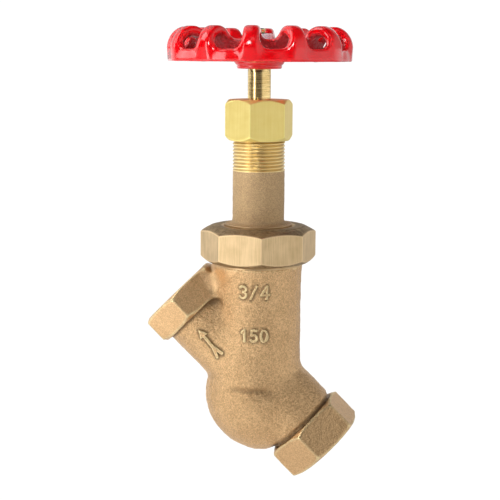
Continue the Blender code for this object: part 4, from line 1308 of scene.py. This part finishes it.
# ---------------------------------------------------------------- handwheel
RIB_TURN = math.radians(3)
RIBS = 12
SPOKES = 4
WHEEL_LOW, WHEEL_TOP = span("handwheel")
WHEEL_R = half_x("handwheel")
SKIN = 0.02 * MM                                  # kept between the fine wheel and its CAD box
CREST_R = 30.0 * MM
RIM_LOW = 130.9 * MM
ARCH_Z = 136.2 * MM
RIB_WIDE = 2.8 * MM                               # half width at the crest
RIB_FLARE = 1.0 * MM                              # added at the foot
RIB_THICK = 1.85 * MM                             # half thickness
SWELL = 0.32 * MM                                 # what the fillets add over the crest
MID_A = WHEEL_R - SWELL - CREST_R - RIB_THICK     # arch's middle line
MID_B = WHEEL_TOP - SWELL - ARCH_Z - RIB_THICK


def wheel_angle(points):
    """Angle from the nearest rib's middle plane."""
    pitch = TAU / RIBS
    angle = np.arctan2(points[:, 1], points[:, 0]) + math.pi / 2 - RIB_TURN
    return (angle + pitch / 2) % pitch - pitch / 2


def wheel_field(points):
    """Ventilated handwheel: arched rim between rounded ribs, spokes and hub."""
    x, y, z = points.T
    r = np.hypot(x, y)
    psi = wheel_angle(points)
    rib_across = r * np.sin(psi)
    window_across = r * np.sin(TAU / RIBS / 2 - np.abs(psi))
    beside = step01(2.0 * MM, 4.6 * MM, np.abs(rib_across))
    upper = 0.3 + 0.7 * step01(132.0 * MM, 137.0 * MM, z)
    scallop = r + 0.85 * MM * beside * step01(33 * MM, 36 * MM, r) * upper
    ratio = (MID_A + MID_B) / 2

    def midline(radius):
        return np.abs(np.hypot((radius - CREST_R) / MID_A, np.maximum(z - ARCH_Z, 0.0) / MID_B) - 1) * ratio

    shell = midline(scallop) - 1.55 * MM
    floor = np.interp(r, [21.9 * MM, CREST_R, 38.1 * MM], [140.7 * MM, 137.4 * MM, 135.3 * MM])
    wide = RIB_WIDE + RIB_FLARE * (1 - step01(135.5 * MM, 141.0 * MM, z))
    half = math.pi * r / RIBS - wide + 0.3 * MM
    window = smax(window_across - half, floor - z, 3.0 * MM)
    shell = smax(shell, -window, 1.2 * MM)
    thick = RIB_THICK - 0.45 * MM * (1 - step01(131.5 * MM, 137.5 * MM, z))
    rib = (np.hypot(midline(r) / thick, rib_across / wide) - 1) * 2.2 * MM
    rim = smin(shell, rib, 2.4 * MM)
    rim = smax(rim, RIM_LOW + 0.05 * MM - z, 0.9 * MM)

    hub_r = 9.3 * MM + 0.65 * MM * step01(129.5 * MM, 129.9 * MM, z)
    hub = smax(smax(r - hub_r, WHEEL_LOW + 0.03 * MM - z, 0.8 * MM), z - 137.55 * MM, 0.9 * MM)
    wheel = hub
    for index in range(SPOKES // 2):
        angle = RIB_TURN + math.pi / 2 * index
        side = np.abs(-x * math.sin(angle) + y * math.cos(angle))
        spoke = smax(side - 3.75 * MM, np.abs(z - 133.0 * MM) - 1.8 * MM, 1.4 * MM)
        wheel = smin(wheel, smax(spoke, r - 23.4 * MM, 0.5 * MM), 1.8 * MM)
    wheel = smin(wheel, rim, 1.6 * MM)
    square = np.maximum(np.abs(x), np.abs(y)) - 3.7 * MM
    recess = np.maximum(r - 5.05 * MM, z - 128.8 * MM)
    return smax(wheel, -np.minimum(square, recess), 0.3 * MM)


def make_handwheel():
    low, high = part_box("handwheel")
    margin = 1.2 * MM
    step = 0.5 * MM
    verts, quads = surface_nets(wheel_field, np.array(low) - margin, np.array(high) + margin, step)
    points, normals = settle(wheel_field, verts)
    mesh = make_mesh("handwheel", points, quads)
    store_edges(mesh)
    r = np.hypot(points[:, 0], points[:, 1])
    arch = np.hypot((r - CREST_R) / MID_A, np.maximum(points[:, 2] - ARCH_Z, 0.0) / MID_B)
    inside = (1 - step01(0.80, 0.97, arch)) * (r > 20 * MM)
    store(mesh, "inside", inside)
    wave = -0.035 * MM * (1 + noise(points, 5 * MM, 31))
    wave = wave - 0.2 * MM * inside * (1 + layered(points, 1.5 * MM, 33))
    points = points + normals * wave[:, None]
    r = np.hypot(points[:, 0], points[:, 1])
    points[:, :2] *= np.minimum(1.0, (WHEEL_R - SKIN) / np.maximum(r, SKIN))[:, None]
    points[:, 2] = np.clip(points[:, 2], WHEEL_LOW + SKIN, WHEEL_TOP - SKIN)
    set_positions(mesh, points)
    return piece("handwheel_fine", mesh, "handwheel", "red_enamel", mats["enamel"])


make_handwheel()


# ---------------------------------------------------------------- studio
AROUND = (                       # surroundings near the horizon: azimuth from the camera's side, strength
    (-180, 0.49), (-165, 0.45), (-142, 1.0), (-120, 0.52), (-105, 0.03), (15, 0.03), (30, 0.6), (45, 0.85),
    (60, 0.85), (90, 0.85), (105, 0.75), (127, 0.4), (150, 0.7), (165, 1.0), (180, 0.49))
OVERHEAD = ((-180, 0.5), (-135, 0.94), (-45, 0.05), (180, 0.05))
OVERHEAD_FROM, OVERHEAD_TO = math.radians(20), math.radians(60)
NEAR_GLOW = 0.45                 # strength of the floor under the object
FLOOR_GLOWS = (                  # radii where each ring of the floor fades in, and its strength by azimuth
    (0.06, 0.25, ((-180, 0.35), (-157, 0.75), (-112, 0.1), (-67, 1.9), (-22, 0.15), (23, 0.45), (68, 0.2),
                  (113, 0.5), (158, 0.05), (180, 0.2))),
    (0.70, 1.00, ((-180, 0.6), (-150, 1.0), (-125, 1.0), (-100, 0.3), (-80, 0.3), (-65, 0.6), (-40, 0.6),
                  (-22, 0.2), (22, 0.2), (35, 1.0), (120, 1.15), (140, 0.5), (160, 0.5), (180, 0.5))),
)
FLOOR_HALF = 6.0
FLOOR_DROP = 0.02                # from the object's lowest point
MIDDLE = Vector((0.0, 0.0, 0.06))
WHEEL_MIDDLE = Vector((0.0, 0.0, (WHEEL_LOW + WHEEL_TOP) / 2))
SOFT_BOXES = (                   # name, target, azimuth, elevation, distance, width, height, power, spread
    ("key", MIDDLE, -49, 8, 0.8, 0.17, 0.62, 1.5, 180),
    ("left", MIDDLE, -104, 18, 0.8, 0.37, 0.37, 0.95, 180),
    ("upper_left", MIDDLE, -80, 46, 0.8, 0.40, 0.40, 1.7, 180),
    ("front_top", MIDDLE, 5, 45, 0.8, 0.30, 0.15, 0.12, 180),
    ("wheel_light", WHEEL_MIDDLE, -16, 24, 0.45, 0.20, 0.14, 0.033, 22),
)
CAMERA_AT = Vector((-0.0034, -0.5156, 0.1339))      # before the swing round the stem
CAMERA_TILT = math.radians(8.91)                    # downwards
CAMERA_ROLL = math.radians(0.35)
SENSOR_WIDE, LENS = 36.0, 90.0


def add(name, data):
    """Put data in the scene as an object."""
    obj = bpy.data.objects.new(name, data)
    bpy.context.scene.collection.objects.link(obj)
    return obj


def make_floor():
    """Plain pale floor a little under the object. It glows more in some directions than in others."""
    mesh = bpy.data.meshes.new("floor")
    z = cad_low.z - FLOOR_DROP
    corners = [(x * FLOOR_HALF, y * FLOOR_HALF, z) for x, y in ((-1, -1), (1, -1), (1, 1), (-1, 1))]
    mesh.from_pydata(corners, [], [(0, 1, 2, 3)])
    floor = add("floor", mesh)
    look = Look("pale_floor")
    tone = look.ramp(look.noise(0.3, 2.0, 0.5), (0.3, 0.55), (0.7, 0.6))
    look.finish(colour=tone, roughness=0.8, specular=0.1)
    flat = look.node("ShaderNodeVectorMath", Vector=look.coord)
    flat.operation = "MULTIPLY"
    flat.inputs[1].default_value = (1.0, 1.0, 0.0)
    away = look.node("ShaderNodeVectorMath", Vector=flat.outputs["Vector"])
    away.operation = "LENGTH"
    glow = (NEAR_GLOW, NEAR_GLOW, NEAR_GLOW)
    for start, end, stops in FLOOR_GLOWS:
        ring = look.by_azimuth(look.coord, stops)
        glow = look.mix(look.portion(away.outputs["Value"], start, end), glow, ring)
    look.plug(WHITE, look.shader.inputs["Emission Color"])
    look.plug(glow, look.shader.inputs["Emission Strength"])
    out = look.tree.nodes["Material Output"]
    look.white_to_camera(look.shader.outputs["BSDF"], out, "ShaderNodeEmission")
    mesh.materials.append(look.mat)


def make_world():
    """Soft studio surroundings: white where the camera looks past the object, graded where they light it."""
    world = bpy.data.worlds.new("studio")
    bpy.context.scene.world = world
    world.use_nodes = True
    world.node_tree.nodes.clear()
    sky = Nodes(world.node_tree)
    coord = sky.node("ShaderNodeTexCoord").outputs["Generated"]
    height = sky.node("ShaderNodeSeparateXYZ", Vector=coord)
    rise = sky.portion(height.outputs["Z"], math.sin(OVERHEAD_FROM), math.sin(OVERHEAD_TO))
    blend = sky.node("ShaderNodeMix", Factor=rise, A=sky.by_azimuth(coord, AROUND),
                     B=sky.by_azimuth(coord, OVERHEAD))
    light = sky.node("ShaderNodeBackground", Color=WHITE, Strength=blend.outputs["Result"])
    out = sky.node("ShaderNodeOutputWorld")
    sky.white_to_camera(light.outputs["Background"], out, "ShaderNodeBackground")


def from_camera_side(azimuth, elevation):
    """Direction from angles in degrees about the camera's side of the object, to the right and up."""
    turn, rise = math.radians(azimuth) + SWING, math.radians(elevation)
    return Vector((math.sin(turn) * math.cos(rise), -math.cos(turn) * math.cos(rise), math.sin(rise)))


def make_soft_box(name, target, azimuth, elevation, distance, width, height, power, spread):
    """Soft box that faces the target."""
    data = bpy.data.lights.new(name, "AREA")
    data.shape = "RECTANGLE"
    data.size, data.size_y = width, height
    data.energy = power
    data.spread = math.radians(spread)
    light = add(name, data)
    light.location = target + from_camera_side(azimuth, elevation) * distance
    light.rotation_mode = "QUATERNION"
    light.rotation_quaternion = (target - light.location).to_track_quat("-Z", "Y")
    light.visible_camera = False


def make_camera():
    """Camera at the photograph's viewing angle."""
    forward = Vector((0, math.cos(CAMERA_TILT), -math.sin(CAMERA_TILT)))
    up = Vector((0, math.sin(CAMERA_TILT), math.cos(CAMERA_TILT)))
    right = Vector((1, 0, 0))
    rolled_right = right * math.cos(CAMERA_ROLL) + up * math.sin(CAMERA_ROLL)
    rolled_up = up * math.cos(CAMERA_ROLL) - right * math.sin(CAMERA_ROLL)
    columns = (rolled_right, rolled_up, -forward, CAMERA_AT)
    pose = Matrix([[column[row] for column in columns] for row in range(3)] + [[0, 0, 0, 1]])
    data = bpy.data.cameras.new("camera")
    data.sensor_width, data.lens = SENSOR_WIDE, LENS
    data.clip_start, data.clip_end = 0.01, 20.0
    camera = add("camera", data)
    camera.matrix_world = Matrix.Rotation(SWING, 4, "Z") @ pose
    bpy.context.scene.camera = camera


make_floor()
make_world()
for soft_box in SOFT_BOXES:
    make_soft_box(*soft_box)
make_camera()
bpy.context.scene.view_settings.view_transform = "Standard"
